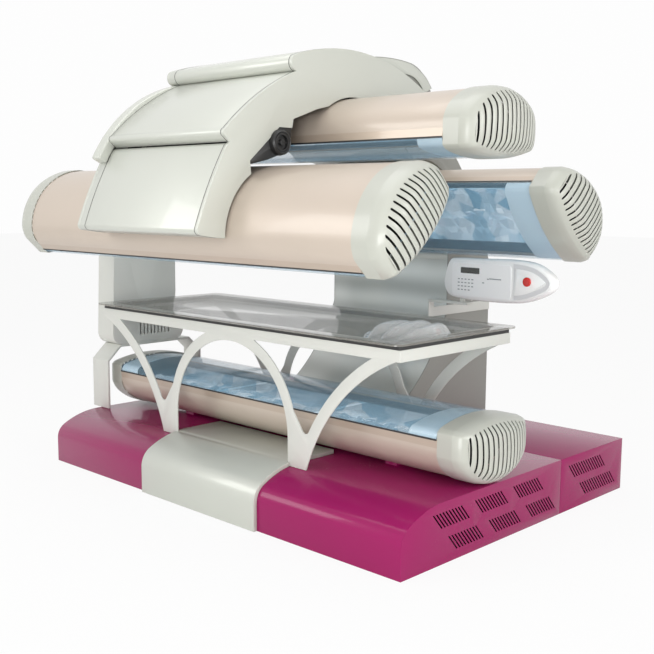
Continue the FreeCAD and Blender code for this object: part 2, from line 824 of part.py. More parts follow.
def make_tube_parts(kind):
    """The parts of one lamp tube in its own frame: X along the bed, Z out of the acrylic."""
    length = "2*tube_half_length"
    start = "-tube_half_length"
    casing = bent_sheet(kind + "_casing", "side", shell_steps(kind, 0), "tube_skin", start, length)
    bulkhead = prism(kind + "_bulkhead", "side", [section(kind, "tube_skin")],
                     "tube_half_length - tube_skin", "tube_skin")
    pin = rod(kind + "_fan_pin", "fan_pin", ("tube_half_length - tube_skin/2",
              "tube_half_length + fan_gap + fan_hub_length + fan_gap"), "0", "-fan_drop")
    shell = fuse(kind + "_shell", [casing, bulkhead, mirrored(kind + "_bulkhead_left", bulkhead), pin])
    acrylic = bent_sheet(kind + "_acrylic", "side", dome_steps(kind, 0), "tube_skin", start, length)

    inner = "tube_half_length - tube_skin"
    tray_steps = [("tray_half", "-tray_top"), ("tray_half - tray_flange", "-tray_top"),
                  ("tray_floor", "-tray_top - tray_deep"), ("-tray_floor", "-tray_top - tray_deep"),
                  ("-(tray_half - tray_flange)", "-tray_top"), ("-tray_half", "-tray_top")]
    tray = bent_sheet(kind + "_tray", "side", tray_steps, "-tray_skin", f"-({inner})", f"2*({inner})")
    panes = []
    burners = []
    for number in range(3):
        middle = f"({number} - 1)*pane_pitch"
        panes.append(box(f"{kind}_pane_{number}", (f"{middle} - pane_length/2", f"{middle} + pane_length/2"),
                         ("-pane_half", "pane_half"), ("-tray_top", "-tray_top + pane_thick")))
        glass = rod(f"{kind}_burner_{number}", "burner_radius",
                    (f"{middle} - burner_length/2", f"{middle} + burner_length/2"), "0",
                    "-tray_top - tray_deep + burner_rise")
        burners.append(glass)
        for side in ("-1", "1"):
            edge = f"{middle} + {side}*(burner_length + holder_length)/2"
            name = f"{kind}_holder_{number}_{'a' if side == '1' else 'b'}"
            burners.append(box(name, (f"{edge} - holder_length/2", f"{edge} + holder_length/2"),
                               ("-holder_size/2", "holder_size/2"),
                               ("-tray_top - tray_deep",
                                "-tray_top - tray_deep + burner_rise + holder_size/2")))
    blades = [rod(kind + "_hub", "fan_hub", ("0", "fan_hub_length"), "0", "0")]
    for number in range(int(amount("fan_blades"))):
        blade = doc.addObject("Part::Box", f"{kind}_blade_{number}")
        bind(blade, "Length", "fan_blade")
        bind(blade, "Width", "fan_blade_thick")
        bind(blade, "Height", "fan_tip - fan_hub/2")
        spin = FreeCAD.Rotation(FreeCAD.Vector(1, 0, 0), number * 360 / amount("fan_blades"))
        tilt = FreeCAD.Rotation(FreeCAD.Vector(0, 0, 1), amount("fan_pitch"))
        turn = spin.multiply(tilt)
        middle = FreeCAD.Vector(amount("fan_blade") / 2, amount("fan_blade_thick") / 2,
                                -amount("fan_hub") / 2)
        centre = FreeCAD.Vector(amount("fan_hub_length") / 2, 0, 0)
        blade.Placement = FreeCAD.Placement(centre - turn.multVec(middle), turn)
        blades.append(blade)
    bore = rod(kind + "_bore", "fan_pin + fan_play", ("-fan_gap", "fan_hub_length + fan_gap"), "0", "0")
    rotor = cut(kind + "_rotor", fuse(kind + "_impeller", blades), bore)
    rotor.Placement.Base = FreeCAD.Vector(0, 0, 0)
    bind(rotor, "Placement.Base.x", "tube_half_length + fan_gap")
    bind(rotor, "Placement.Base.z", "-fan_drop")
    return {
        "shell": shell,
        "acrylic": acrylic,
        "reflector_tray": tray,
        "filter_panes": group(kind + "_panes", panes),
        "burners": group(kind + "_burners", burners),
        "end_caps": make_cap(kind),
        "fan": rotor,
    }


def make_tubes():
    """Set the lower tube on the base and the three large ones round the person who lies there."""
    parts = {kind: make_tube_parts(kind) for kind in ("large", "lower")}
    for tube in ("lower", "front", "top", "back"):
        kind = "lower" if tube == "lower" else "large"
        for name, source in parts[kind].items():
            placed = group(f"{tube}_tube_{name}", [source])
            placed.Placement = FreeCAD.Placement(FreeCAD.Vector(),
                                                 FreeCAD.Rotation(FreeCAD.Vector(-1, 0, 0),
                                                                  amount(f"{tube}_turn")))
            bind(placed, "Placement.Base.y", f"{tube}_y")
            bind(placed, "Placement.Base.z", f"{tube}_z")
            node(f"{tube}_tube_{name}", placed)


# ---------------------------------------------------------------- column
def around(centre, radius, angle):
    """Side-view place on a circle round a centre."""
    return (f"{centre[0]} + ({radius})*cos({angle})", f"{centre[1]} + ({radius})*sin({angle})")


PIVOT = ("pivot_y", "pivot_z")
COLUMN_FRONT = [("column_toe", "deck_height"), ("column_toe", "deck_height + column_foot"),
                ("column_ankle_y", "column_ankle_z"),
                ("column_waist_y", "column_waist_z", "column_sweep"), ("column_waist_y", "column_seam_z")]


def recess_steps():
    """The hollow that the back tube lies in, then the throat up to the head."""
    spread = "large_haunch + recess_gap"
    side = "large_foot - large_haunch"
    share = "(large_crown + recess_gap)/(large_crown - large_haunch)"
    reach = f"{share}*({side})"
    drop = f"large_crown - large_depth - {share}*(large_crown + facet - large_depth)"
    return [("column_waist_y", "column_seam_z"), ("column_waist_y", "column_chest_z"),
            ("recess_lip_y", "recess_lip_z"),
            tube_place("back", f"-1*({side} + {spread})", "-facet"),
            tube_place("back", f"-1*{reach}", drop) + (spread,),
            tube_place("back", reach, drop) + ("large_crown + recess_gap",),
            tube_place("back", f"{side} + ({spread})*cos(recess_end)",
                       f"-1*facet - ({spread})*sin(recess_end)") + (spread,),
            around(PIVOT, "head_inner", "head_open"),
            around(PIVOT, "head_inner", "head_top") + ("-head_inner",)]


def make_column():
    """Side plates with the skins between them, and the canopy's shaft."""
    throat = recess_steps()
    rear = [throat[-1][:2], around(PIVOT, "head_outer", "head_top"),
            around(PIVOT, "head_outer", "head_rear") + ("-head_outer",), ("spine_y", "spine_z"),
            ("heel_y", "heel_z", "-spine_radius"), ("heel_y", "deck_height")]
    outline = COLUMN_FRONT + throat[1:] + rear[1:] + [COLUMN_FRONT[0]]
    plate = body_plate("column_plate_body", "side", [outline], "column_half - column_plate",
                       "column_plate")
    inner = "column_half - column_plate"
    hole = rod("shaft_hole", "shaft_radius", (f"{inner} - 1", "column_half + 1"), *PIVOT)
    node("column_side_plates", pair("column_plates", cut("column_plate_bored", plate, hole)))
    skins = {}
    for label, steps in (("column_front_skin", COLUMN_FRONT), ("column_throat_lining", throat),
                         ("column_rear_cover", rear)):
        skins[label] = bent_sheet(label + "_sheet", "side", steps, "column_skin", f"-({inner})",
                                  f"2*({inner})")
    node("column_front_skin", skins["column_front_skin"])
    node("column_rear_cover", skins["column_rear_cover"])
    node("pivot_shaft", rod("shaft", "shaft_radius", ("-shaft_half", "shaft_half"), *PIVOT))
    crown = "large_crown"
    half = "hanger_half"
    base_rise = f"{crown} - large_depth"
    near = f"{base_rise} - sqrt({crown}^2 - {half}^2)"
    far = f"{base_rise} - sqrt(({crown} + recess_gap)^2 - {half}^2)"
    steps = [tube_place("back", f"-1*{half}", near), tube_place("back", half, near) + (crown,),
             tube_place("back", half, far),
             tube_place("back", f"-1*{half}", far) + (f"-({crown} + recess_gap)",),
             tube_place("back", f"-1*{half}", near)]
    block = prism("back_bracket", "side", [steps], "hanger_x", "hanger_width")
    lining = [skins["column_throat_lining"], block, mirrored("back_bracket_left", block)]
    node("column_throat_lining", fuse("throat_with_brackets", lining))


# ---------------------------------------------------------------- bench
def fascia_outline(foot):
    """Arch, feet, curved outer struts and top rail of one long side of the bench."""
    toe = f"strut_x - sqrt(strut_outer^2 - ({foot} - strut_z)^2)"
    tip = "strut_x - sqrt(strut_outer^2 - (rail_low - strut_z)^2)"
    right = [("arch_radius", foot), (toe, foot), (tip, "rail_low", "-strut_outer"),
             ("bench_half", "rail_low"), ("bench_half", "rail_top")]
    left = [("-bench_half", "rail_top"), ("-bench_half", "rail_low"), (f"-1*({tip})", "rail_low"),
            (f"-1*({toe})", foot, "-strut_outer"), ("-arch_radius", foot)]
    arch = [("-arch_radius", "arch_centre"), ("0", "arch_centre + arch_radius", "-arch_radius"),
            ("arch_radius", "arch_centre", "-arch_radius"), ("arch_radius", foot)]
    return right + left + arch


def window_steps(side):
    """The opening between the arch's band and a curved strut; side is 1 or -1."""
    band_top = "sqrt(band_radius^2 - (rail_low - arch_centre)^2)"
    strut_top = "strut_x - sqrt(strut_inner^2 - (rail_low - strut_z)^2)"
    strut_foot = "strut_x - sqrt(strut_inner^2 - (window_turn_z - strut_z)^2)"
    side_z = "arch_centre + sqrt(band_radius^2 - window_side_x^2)"
    steps = [(band_top, "rail_low"), (strut_top, "rail_low"), (strut_foot, "window_turn_z", "strut_inner"),
             ("window_foot_x", "window_foot_z", "-window_round"), ("window_side_x", side_z),
             (band_top, "rail_low", "band_radius")]
    turned = []
    for step in steps:
        place = [f"{side}*({step[0]})", step[1]]
        if len(step) > 2:
            place.append(f"{side}*({step[2]})")
        turned.append(tuple(place))
    return turned


def rounded_rectangle(x_half, y_low, y_high, corner):
    """A rectangle with round corners, seen from above."""
    low, high, corner = f"({y_low})", f"({y_high})", f"({corner})"
    x_in = f"({x_half}) - {corner}"
    return [(f"-1*({x_in})", low), (x_in, low), (x_half, f"{low} + {corner}", corner),
            (x_half, f"{high} - {corner}"), (x_in, high, corner), (f"-1*({x_in})", high),
            (f"-1*({x_half})", f"{high} - {corner}", corner), (f"-1*({x_half})", f"{low} + {corner}"),
            (f"-1*({x_in})", low, corner)]


def pan_solid(label, skin):
    """The dished middle of the bench, drawn with or without its wall thickness."""
    stations = []
    drop = "pan_depth"
    for number, (inward, down) in enumerate((("pan_rim", "0"), ("pan_rim + pan_slope", drop))):
        edge = f"({inward} - {skin})"
        outline = rounded_rectangle(f"pan_half - {edge}", f"pan_front + {edge}", f"pan_rear - {edge}",
                                    "pan_corner")
        level = f"pan_top - ({down}) - ({skin})*{number}"
        stations.append(sketch_on("top", f"{label}_station_{number}", [outline], level))
    dish = doc.addObject("Part::Loft", label)
    dish.Sections = stations
    dish.Solid = True
    dish.Ruled = True
    return dish


def make_bench():
    """Two arched fascias, end rails, the acrylic pan with its seal, and the headrest."""
    tread = "bench_front + fascia_plate - top_centre"
    front_foot = f"deck_height - top_radius + sqrt(top_radius^2 - ({tread})^2)"
    fronts = (("bench_front_fascia", "bench_front", front_foot),
              ("bench_rear_fascia", "bench_rear - fascia_plate", "deck_height"))
    for label, start, foot in fronts:
        plate = body_plate(label + "_body", "front",
                           [fascia_outline(foot), window_steps(1), window_steps(-1)], start, "fascia_plate")
        node(label, plate)
    end_y = ("bench_front + fascia_plate", "bench_rear - fascia_plate")
    rail = box("end_rail", ("bench_half - fascia_plate", "bench_half"), end_y, ("rail_low", "rail_top"))
    node("bench_end_rails", pair("end_rails", rail))

    outer = rounded_rectangle("bench_half", "bench_front", "bench_rear", "seal_corner")
    inner = rounded_rectangle("bench_half - seal_width", "bench_front + seal_width",
                              "bench_rear - seal_width", "seal_corner - seal_width")
    node("bench_seal", prism("seal", "top", [outer, inner], "rail_top", "pan_top - pan_lip - rail_top"))

    rim = rounded_rectangle("pan_half", "pan_front", "pan_rear", "pan_corner")
    lip = prism("pan_lip_plate", "top", [rim], "pan_top - pan_lip", "pan_lip")
    dished = fuse("pan_outside", [lip, pan_solid("pan_shell", "pan_skin")])
    node("bench_acrylic", cut("pan", dished, pan_solid("pan_hollow", "0")))

    front, rear = "pillow_middle - pillow_width/2", "pillow_middle + pillow_width/2"
    horn, shoulder = "pillow_left + pillow_horn", "pillow_right - pillow_corner"
    steps = [("pillow_left", "pillow_middle - pillow_horn_half"), (horn, front, "pillow_sweep"),
             (shoulder, front), ("pillow_right", f"{front} + pillow_corner", "pillow_corner"),
             ("pillow_right", f"{rear} - pillow_corner"), (shoulder, rear, "pillow_corner"),
             (horn, rear), ("pillow_left", "pillow_middle + pillow_horn_half", "pillow_sweep"),
             (horn, "pillow_middle + pillow_throat", "pillow_sweep"),
             (horn, "pillow_middle - pillow_throat", "-pillow_throat_radius"),
             ("pillow_left", "pillow_middle - pillow_horn_half", "pillow_sweep")]
    cushion = prism("pillow_top", "top", [steps], "pan_top", "pillow_height")
    foot_right = "pan_half - pan_rim - pan_slope - pillow_foot_gap"
    foot = box("pillow_foot_block", (f"{foot_right} - pillow_foot", foot_right),
               ("pillow_middle - pillow_foot/2", "pillow_middle + pillow_foot/2"),
               ("pan_top - pan_depth", "pan_top + pillow_foot_rise"))
    node("headrest_pillow", fuse("pillow", [cushion, foot]))


# ---------------------------------------------------------------- canopy arm
COVER_LOW = [("cover_back_y", "cover_back_z"), ("cover_toe_y", "cover_toe_z"),
             ("cover_lip_y", "cover_lip_z", "-cover_lip_radius"),
             ("cover_seam_y", "cover_seam_z", "-cover_low_radius")]
COVER_TOP = [("ridge_under_y", "ridge_under_z"), ("ridge_nose_y", "ridge_nose_z"),
             ("ridge_top_y", "ridge_top_z", "-ridge_radius"),
             ("cover_end_y", "cover_end_z", "-cover_top_radius")]
ROOF = [("cover_end_y", "cover_end_z"), ("roll_top_y", "roll_top_z", "-roll_radius"),
        ("roof_end_y", "roof_end_z", "-roof_radius")]
LINER = [("liner_rear_y", "liner_rear_z"), ("liner_step_y", "liner_step_z"), ("liner_tab_y", "liner_shelf_z"),
         ("liner_shelf_y", "liner_shelf_z"), ("liner_knee_y", "liner_knee_z"),
         ("liner_front_y", "liner_front_z")]


def over_shell(tube, gap, start, finish):
    """A curve that follows a large tube's shell from -u to +u, a gap outside it.

    start and finish are each an angle round the haunch, or a place across that lies on the crown.
    """
    haunch = f"(large_haunch + {gap})"
    crown = f"(large_crown + {gap})"
    side = "(large_foot - large_haunch)"
    share = f"{crown}/(large_crown - large_haunch)"
    reach = f"({share}*{side})"
    drop = f"large_crown - large_depth - {share}*(large_crown + facet - large_depth)"

    def on_crown(across):
        return tube_place(tube, across, f"large_crown - large_depth - sqrt({crown}^2 - ({across})^2)")

    def on_haunch(side_sign, angle):
        return tube_place(tube, f"{side_sign}*({side} + {haunch}*sin({angle}))",
                          f"-1*(facet + {haunch}*cos({angle}))")

    path = []
    if start[0] == "haunch":
        path += [on_haunch("-1", start[1]), tube_place(tube, f"-1*{reach}", drop) + (haunch,)]
    else:
        path.append(on_crown(start[1]))
    if finish[0] == "haunch":
        path += [tube_place(tube, reach, drop) + (crown,), on_haunch("1", finish[1]) + (haunch,)]
    else:
        path.append(on_crown(finish[1]) + (crown,))
    return path


def over_top(gap):
    """The curve over the top tube, from behind it to the front."""
    return over_shell("top", gap, ("haunch", "heel_sweep"), ("crown", "arm_front_reach"))


def cheek_steps():
    """The outline of the arm's moulded cheeks."""
    rear = [around(PIVOT, "cheek_rear", "35") + ("-roof_radius",),
            around(PIVOT, "cheek_rear", "-80") + ("-cheek_rear",),
            around(PIVOT, "cheek_rear", "215") + ("-cheek_rear",)]
    front = over_shell("front", "toe_gap", ("crown", "-1*toe_near"), ("haunch", "toe_sweep"))
    return COVER_LOW + COVER_TOP + ROOF[1:] + rear + over_top("shell_gap") + LINER + front + COVER_LOW[:1]


def frame_steps():
    """The outline of the steel plates inside the cheeks."""
    near = "-1*(large_depth + hanger_rise - frame_bar_inset)"
    far = "-1*(large_depth + hanger_rise + bar_size + frame_bar_over)"
    eye = "(bush_flange*2)"
    return [tube_place("front", "frame_bar_half", near), tube_place("front", "frame_bar_half", far),
            ("frame_knee_y", "frame_knee_z"), ("frame_brow_y", "frame_brow_z"), ("top_y", "frame_top_z"),
            ("0", "frame_top_z"), around(PIVOT, eye, "70"), around(PIVOT, eye, "-70") + (f"-{eye}",),
            around(PIVOT, eye, "200") + (f"-{eye}",)
            ] + over_top("frame_gap") + [("frame_low_y", "frame_low_z"), ("frame_step_y", "frame_step_z"),
            ("frame_shelf_y", "frame_shelf_z"), ("frame_knee_y", "frame_front_z"),
            tube_place("front", "-1*frame_bar_near", near), tube_place("front", "frame_bar_half", near)]


def make_arm():
    """Structure, cheeks and covers of the lifting arm."""
    inner = "arm_half - cheek_thick"
    cheek = body_plate("cheek_body", "side", [cheek_steps()], inner, "cheek_thick")
    socket = rod("cheek_socket", "bush_flange + 2", (f"{inner} - 1", "shaft_half + 2"), *PIVOT)
    node("arm_side_panels", pair("cheeks", cut("cheek", cheek, socket)))

    plate_start = f"{inner} - frame_plate"
    plate = body_plate("frame_body", "side", [frame_steps()], plate_start, "frame_plate")
    eye = rod("frame_eye", "bush_radius", (f"{plate_start} - 1", f"{inner} + 1"), *PIVOT)
    bored = cut("frame_bored", plate, eye)
    pieces = [bored, mirrored("frame_bored_left", bored)]
    near = "large_depth + hanger_rise"
    for tube in ("front", "top"):
        corners = [("-bar_half", f"-1*({near} + bar_size)"), ("bar_half", f"-1*({near} + bar_size)"),
                   ("bar_half", f"-1*({near})"), ("-bar_half", f"-1*({near})")]
        square = [tube_place(tube, *corner) for corner in corners]
        pieces.append(prism(f"{tube}_bar", "side", [square + square[:1]], f"-1*({plate_start})",
                            f"2*({plate_start})"))
        rise = "large_crown - large_depth - sqrt(large_crown^2 - hanger_half^2)"
        hanger = [tube_place(tube, "-hanger_half", rise),
                  tube_place(tube, "hanger_half", rise) + ("large_crown",),
                  tube_place(tube, "hanger_half", f"-1*({near})"),
                  tube_place(tube, "-hanger_half", f"-1*({near})"),
                  tube_place(tube, "-hanger_half", rise)]
        block = prism(f"{tube}_hanger", "side", [hanger], "hanger_x", "hanger_width")
        pieces += [block, mirrored(f"{tube}_hanger_left", block)]
    node("arm_frame", fuse("frame", pieces))
    sleeve = rod("bush_sleeve", "bush_radius", (plate_start, inner), *PIVOT)
    flange = rod("bush_collar", "bush_flange", (f"{plate_start} - bush_flange_thick", plate_start), *PIVOT)
    bore = rod("bush_bore", "shaft_radius + bush_play", ("column_half", "arm_half"), *PIVOT)
    node("pivot_bushes", pair("bushes", cut("bush", fuse("bush_solid", [sleeve, flange]), bore)))

    for label, steps in (("arm_lower_cover", COVER_LOW), ("arm_upper_cover", COVER_TOP)):
        node(label, bent_sheet(label + "_sheet", "side", steps, "arm_skin", f"-({inner})", f"2*({inner})"))
    node("arm_liner", bent_sheet("liner_sheet", "side", LINER, "arm_skin", f"-({inner})", f"2*({inner})"))
    node("arm_roof", bent_sheet("roof_sheet", "side", ROOF, "arm_skin", f"-({inner})", f"2*({inner})"))
    hood = [ROOF[-1][:2], around(PIVOT, "hood_outer", "hood_front"),
            around(PIVOT, "hood_outer", "hood_rear") + ("-hood_outer",)]
    barrel = bent_sheet("hood_sheet", "side", hood, "arm_skin", "-hood_half", "2*hood_half")
    end_steps = [around(PIVOT, "hood_eye", "hood_front"), hood[1], hood[2],
                 around(PIVOT, "hood_eye", "hood_rear"),
                 around(PIVOT, "hood_eye", "hood_front") + ("hood_eye",)]
    end = prism("hood_end", "side", [end_steps], "hood_half - arm_skin", "arm_skin")
    node("arm_rear_hood", fuse("hood", [barrel, end, mirrored("hood_end_left", end)]))
    make_nozzle()


def make_nozzle():
    """The black infill plate under the right cheek and the air nozzle that turns on its pin."""
    plate_steps = [LINER[2], ("nozzle_plate_tip_y", "nozzle_plate_tip_z"), ("liner_shelf_y", "plate_low_z"),
                   ("liner_knee_y", "plate_heel_z"), ("liner_front_y + toe_gap", "plate_toe_z"), LINER[5],
                   LINER[4], LINER[3], LINER[2]]
    face = "nozzle_plate_start + nozzle_plate_thick"
    plate = prism("nozzle_plate", "side", [plate_steps], "nozzle_plate_start", "nozzle_plate_thick")
    pin = rod("nozzle_pin", "nozzle_pin_radius", ("nozzle_plate_start", f"{face} + nozzle_width"),
              "nozzle_y", "nozzle_z")
    node("nozzle_bracket", fuse("nozzle_holder", [plate, pin]))
    back, front = f"{face} + nozzle_play", f"{face} + nozzle_width"
    cup = rod("nozzle_cup", "nozzle_radius", (back, front), "nozzle_y", "nozzle_z")
    hollow = rod("nozzle_hollow", "nozzle_rim", (f"{back} + nozzle_floor", front), "nozzle_y", "nozzle_z")
    boss = rod("nozzle_boss_rod", "nozzle_boss", (back, front), "nozzle_y", "nozzle_z")
    vane = box("nozzle_vane_bar", (back, f"{front} - nozzle_vane"),
               ("nozzle_y - nozzle_rim", "nozzle_y + nozzle_rim"),
               ("nozzle_z - nozzle_vane/2", "nozzle_z + nozzle_vane/2"))
    bore = rod("nozzle_bore", "nozzle_pin_radius + bush_play", (face, f"{front} + nozzle_play"),
               "nozzle_y", "nozzle_z")
    solid = fuse("nozzle_solid", [cut("nozzle_bowl", cup, hollow), boss, vane])
    node("air_nozzle", cut("nozzle", solid, bore))


# ---------------------------------------------------------------- tower at the left end
def make_tower():
    """The strap that bridges the lower tube at the left end and the housing that stands on it."""
    width = "tower_right - tower_left"
    strap = [("yoke_front", "deck_height"), ("yoke_front", "yoke_knee"),
             ("yoke_front + yoke_slope", "yoke_top"), ("yoke_rear - yoke_slope", "yoke_top"),
             ("yoke_rear", "yoke_knee"), ("yoke_rear", "deck_height")]
    node("tower_yoke", bent_sheet("yoke_strap", "side", strap, "yoke_thick", "tower_left", width))
    round_top = "tower_top - tower_top_round"
    outline = [("tower_foot_front", "yoke_top"), ("tower_front", "tower_sill", "-tower_round"),
               ("tower_lean_front", "tower_lean_z"), ("tower_top_front", round_top),
               ("tower_top_front + tower_top_round", "tower_top", "-tower_top_round"),
               ("tower_top_rear - tower_top_round", "tower_top"),
               ("tower_top_rear", round_top, "-tower_top_round"), ("tower_neck", "tower_lean_z"),
               ("tower_neck", "tower_neck_low"), ("tower_rear", "tower_hip_z", "tower_hip_round"),
               ("tower_rear", "tower_sill"), ("tower_foot_rear", "yoke_top", "-tower_round"),
               ("tower_foot_front", "yoke_top")]
    shell = prism("tower_shell", "side", [outline], "tower_left", width)
    floor, ceiling = "tower_sill - tower_inset", "tower_top - tower_inset"
    inside = [("tower_front + tower_inset", floor), ("tower_lean_front + tower_inset", "tower_lean_z"),
              ("tower_top_front + tower_inset", ceiling), ("tower_top_rear - tower_inset", ceiling),
              ("tower_neck - tower_inset", "tower_lean_z"),
              ("tower_neck - tower_inset", "tower_neck_low - tower_inset"),
              ("tower_rear - tower_inset", "tower_hip_z"), ("tower_rear - tower_inset", floor),
              ("tower_front + tower_inset", floor)]
    hollow = prism("tower_hollow", "side", [inside], "tower_left + tower_wall", f"{width} - 2*tower_wall")
    slots = []
    for number in range(int(amount("grille_count"))):
        start = f"grille_start + {number}*grille_pitch"
        slots.append(box(f"grille_{number}", ("tower_right - tower_wall - 1", "tower_right + 1"),
                         (start, f"{start} + grille_wide"), ("grille_low", "grille_top")))
    node("tower_housing", cut("tower_vented", cut("tower_box", shell, hollow), group("grille", slots)))


# ---------------------------------------------------------------- control pod
def pod_place(item):
    """Stand a pod part on the post, turned a little towards the bench."""
    item.Placement = FreeCAD.Placement(FreeCAD.Vector(), FreeCAD.Rotation(FreeCAD.Vector(0, 0, -1),
                                                                          amount("pod_turn")))
    bind(item, "Placement.Base.x", "post_x")
    bind(item, "Placement.Base.y", "pod_y")
    return item


def make_pod():
    """Bracket on the column, the pod that swivels on it, its face and the stop button."""
    plate_x = ("column_half", "column_half + bracket_thick")
    shelf_y = ("pod_y - shelf_half", "pod_y + shelf_half")
    plate = box("bracket_plate", plate_x, (shelf_y[0], "bracket_rear"), ("bracket_low", "bracket_top"))
    riser = box("bracket_riser", plate_x, shelf_y, ("bracket_low", "shelf_z"))
    shelf = box("bracket_shelf", ("column_half", "post_x + shelf_over"), shelf_y,
                ("shelf_z - shelf_thick", "shelf_z"))
    post = doc.addObject("Part::Cylinder", "post")
    bind(post, "Radius", "post_radius")
    bind(post, "Height", "post_height")
    bind(post, "Placement.Base.x", "post_x")
    bind(post, "Placement.Base.y", "pod_y")
    bind(post, "Placement.Base.z", "shelf_z - 1")
    node("pod_bracket", fuse("bracket", [plate, riser, shelf, post]))

    outline = [("pod_top_left_x", "pod_top_left_z"), ("pod_top_right_x", "pod_top_right_z"),
               ("pod_tip_x", "pod_tip_z", "-pod_top_radius"),
               ("pod_low_right_x", "pod_low_right_z", "-pod_low_radius"), ("pod_foot_x", "pod_foot_z"),
               ("pod_low_left_x", "pod_low_left_z"), ("pod_end_x", "pod_end_z", "-pod_end_low_radius"),
               ("pod_top_left_x", "pod_top_left_z", "-pod_end_top_radius")]
    shell = prism("pod_solid", "front", [outline], "-pod_thick/2", "pod_thick")
    hole = doc.addObject("Part::Cylinder", "post_hole")
    bind(hole, "Radius", "post_radius + post_play")
    bind(hole, "Height", "post_height + 5")
    bind(hole, "Placement.Base.z", "shelf_z - 1")
    stem_hole = y_rod("stem_hole", "button_stem + button_play", ("-pod_thick/2 - 1", "-pod_thick/2 + 26"))
    bored = cut("pod_drilled", cut("pod_bored", shell, hole), stem_hole)
    node("pod_shell", pod_place(group("pod_shell_group", [bored])))
    face = [("face_left_x", "face_top_left_z"), ("face_top_right_x", "face_top_right_z"),
            ("face_tip_x", "pod_tip_z", "-face_top_radius"),
            ("face_low_right_x", "face_low_right_z", "-face_low_radius"),
            ("face_left_x", "face_low_left_z"), ("face_left_x", "face_top_left_z")]
    sheet_face = prism("pod_face_plate", "front", [face], "-pod_thick/2 - face_thick", "face_thick")
    face_hole = y_rod("face_hole", "button_stem + button_play", ("-pod_thick", "0"))
    node("pod_face", pod_place(group("pod_face_group", [cut("pod_face_cut", sheet_face, face_hole)])))
    front = "-pod_thick/2 - face_thick - button_lift"
    head = y_rod("button_head", "button_radius", (f"{front} - button_thick", front))
    stem = y_rod("button_shank", "button_stem", (f"{front} - 1", "-pod_thick/2 + 18"))
    node("stop_button", pod_place(group("stop_button_group", [fuse("button", [head, stem])])))


def y_rod(label, radius, y_range):
    """A round bar along Y on the stop button's axis."""
    bar = doc.addObject("Part::Cylinder", label)
    bar.Placement = FreeCAD.Placement(FreeCAD.Vector(), FreeCAD.Rotation(FreeCAD.Vector(1, 0, 0), -90))
    bind(bar, "Radius", radius)
    bind(bar, "Height", f"({y_range[1]}) - ({y_range[0]})")
    bind(bar, "Placement.Base.x", "button_x")
    bind(bar, "Placement.Base.y", y_range[0])
    bind(bar, "Placement.Base.z", "button_z")
    return bar


make_base()
make_tubes()
make_column()
make_bench()
make_arm()
make_tower()
make_pod()

doc.recompute()
faults = []
for item in doc.Objects:
    if {"Invalid", "Error"} & set(item.State):
        faults.append(f"{item.Label}: {item.State}")
for item in NODES:
    if item.Shape.isNull() or not item.Shape.isValid():
        faults.append(f"{item.Label}: bad shape")
if faults:
    raise SystemExit("\n".join(faults))
os.makedirs("parts", exist_ok=True)
for item in NODES:
    item.Shape.exportStep(f"parts/{item.Label}.step")
    print(item.Label, len(item.Shape.Solids), round(item.Shape.Volume / 1000), item.Shape.BoundBox)
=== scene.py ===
"""Looks of the clamshell tanning bed: moulded covers, glassy lamp tubes, lacquered base and control pod."""

import logging
import math
import random
from dataclasses import dataclass
from enum import Enum
from typing import Callable, Sequence, Union

import bmesh
import bpy
from mathutils import Matrix, Vector


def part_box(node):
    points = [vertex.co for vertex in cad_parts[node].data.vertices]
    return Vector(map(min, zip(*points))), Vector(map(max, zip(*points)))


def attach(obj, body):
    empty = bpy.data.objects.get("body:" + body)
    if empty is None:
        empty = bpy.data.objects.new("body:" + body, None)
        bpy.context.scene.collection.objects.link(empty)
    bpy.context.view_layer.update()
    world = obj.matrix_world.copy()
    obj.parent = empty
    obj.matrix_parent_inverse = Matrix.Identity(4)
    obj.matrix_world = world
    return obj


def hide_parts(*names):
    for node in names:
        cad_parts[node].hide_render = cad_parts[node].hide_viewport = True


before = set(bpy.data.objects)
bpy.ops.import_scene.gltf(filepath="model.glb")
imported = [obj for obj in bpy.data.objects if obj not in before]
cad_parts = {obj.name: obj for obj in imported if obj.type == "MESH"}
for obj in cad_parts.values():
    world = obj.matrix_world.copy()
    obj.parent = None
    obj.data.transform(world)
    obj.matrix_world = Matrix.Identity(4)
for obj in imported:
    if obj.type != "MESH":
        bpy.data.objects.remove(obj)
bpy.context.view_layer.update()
LOG = logging.getLogger("tanning_bed")
MM = 0.001
Point = tuple[float, float, float]
Flat = tuple[float, float]


def placed(name: str, data: bpy.types.ID) -> bpy.types.Object:
    """Put a mesh, a lamp or a camera in the scene.

    Args:
        name: The object's name.
        data: What it shows.

    Returns:
        The object.
    """
    item = bpy.data.objects.new(name, data)
    bpy.context.scene.collection.objects.link(item)
    return item


def evaluated(holder: bpy.types.Object) -> bpy.types.Mesh:
    """Take the plain mesh that an object's modifiers make.

    Args:
        holder: The object, removed afterwards.

    Returns:
        A new mesh.
    """
    graph = bpy.context.evaluated_depsgraph_get()
    result = bpy.data.meshes.new_from_object(holder.evaluated_get(graph))
    bpy.data.objects.remove(holder)
    return result


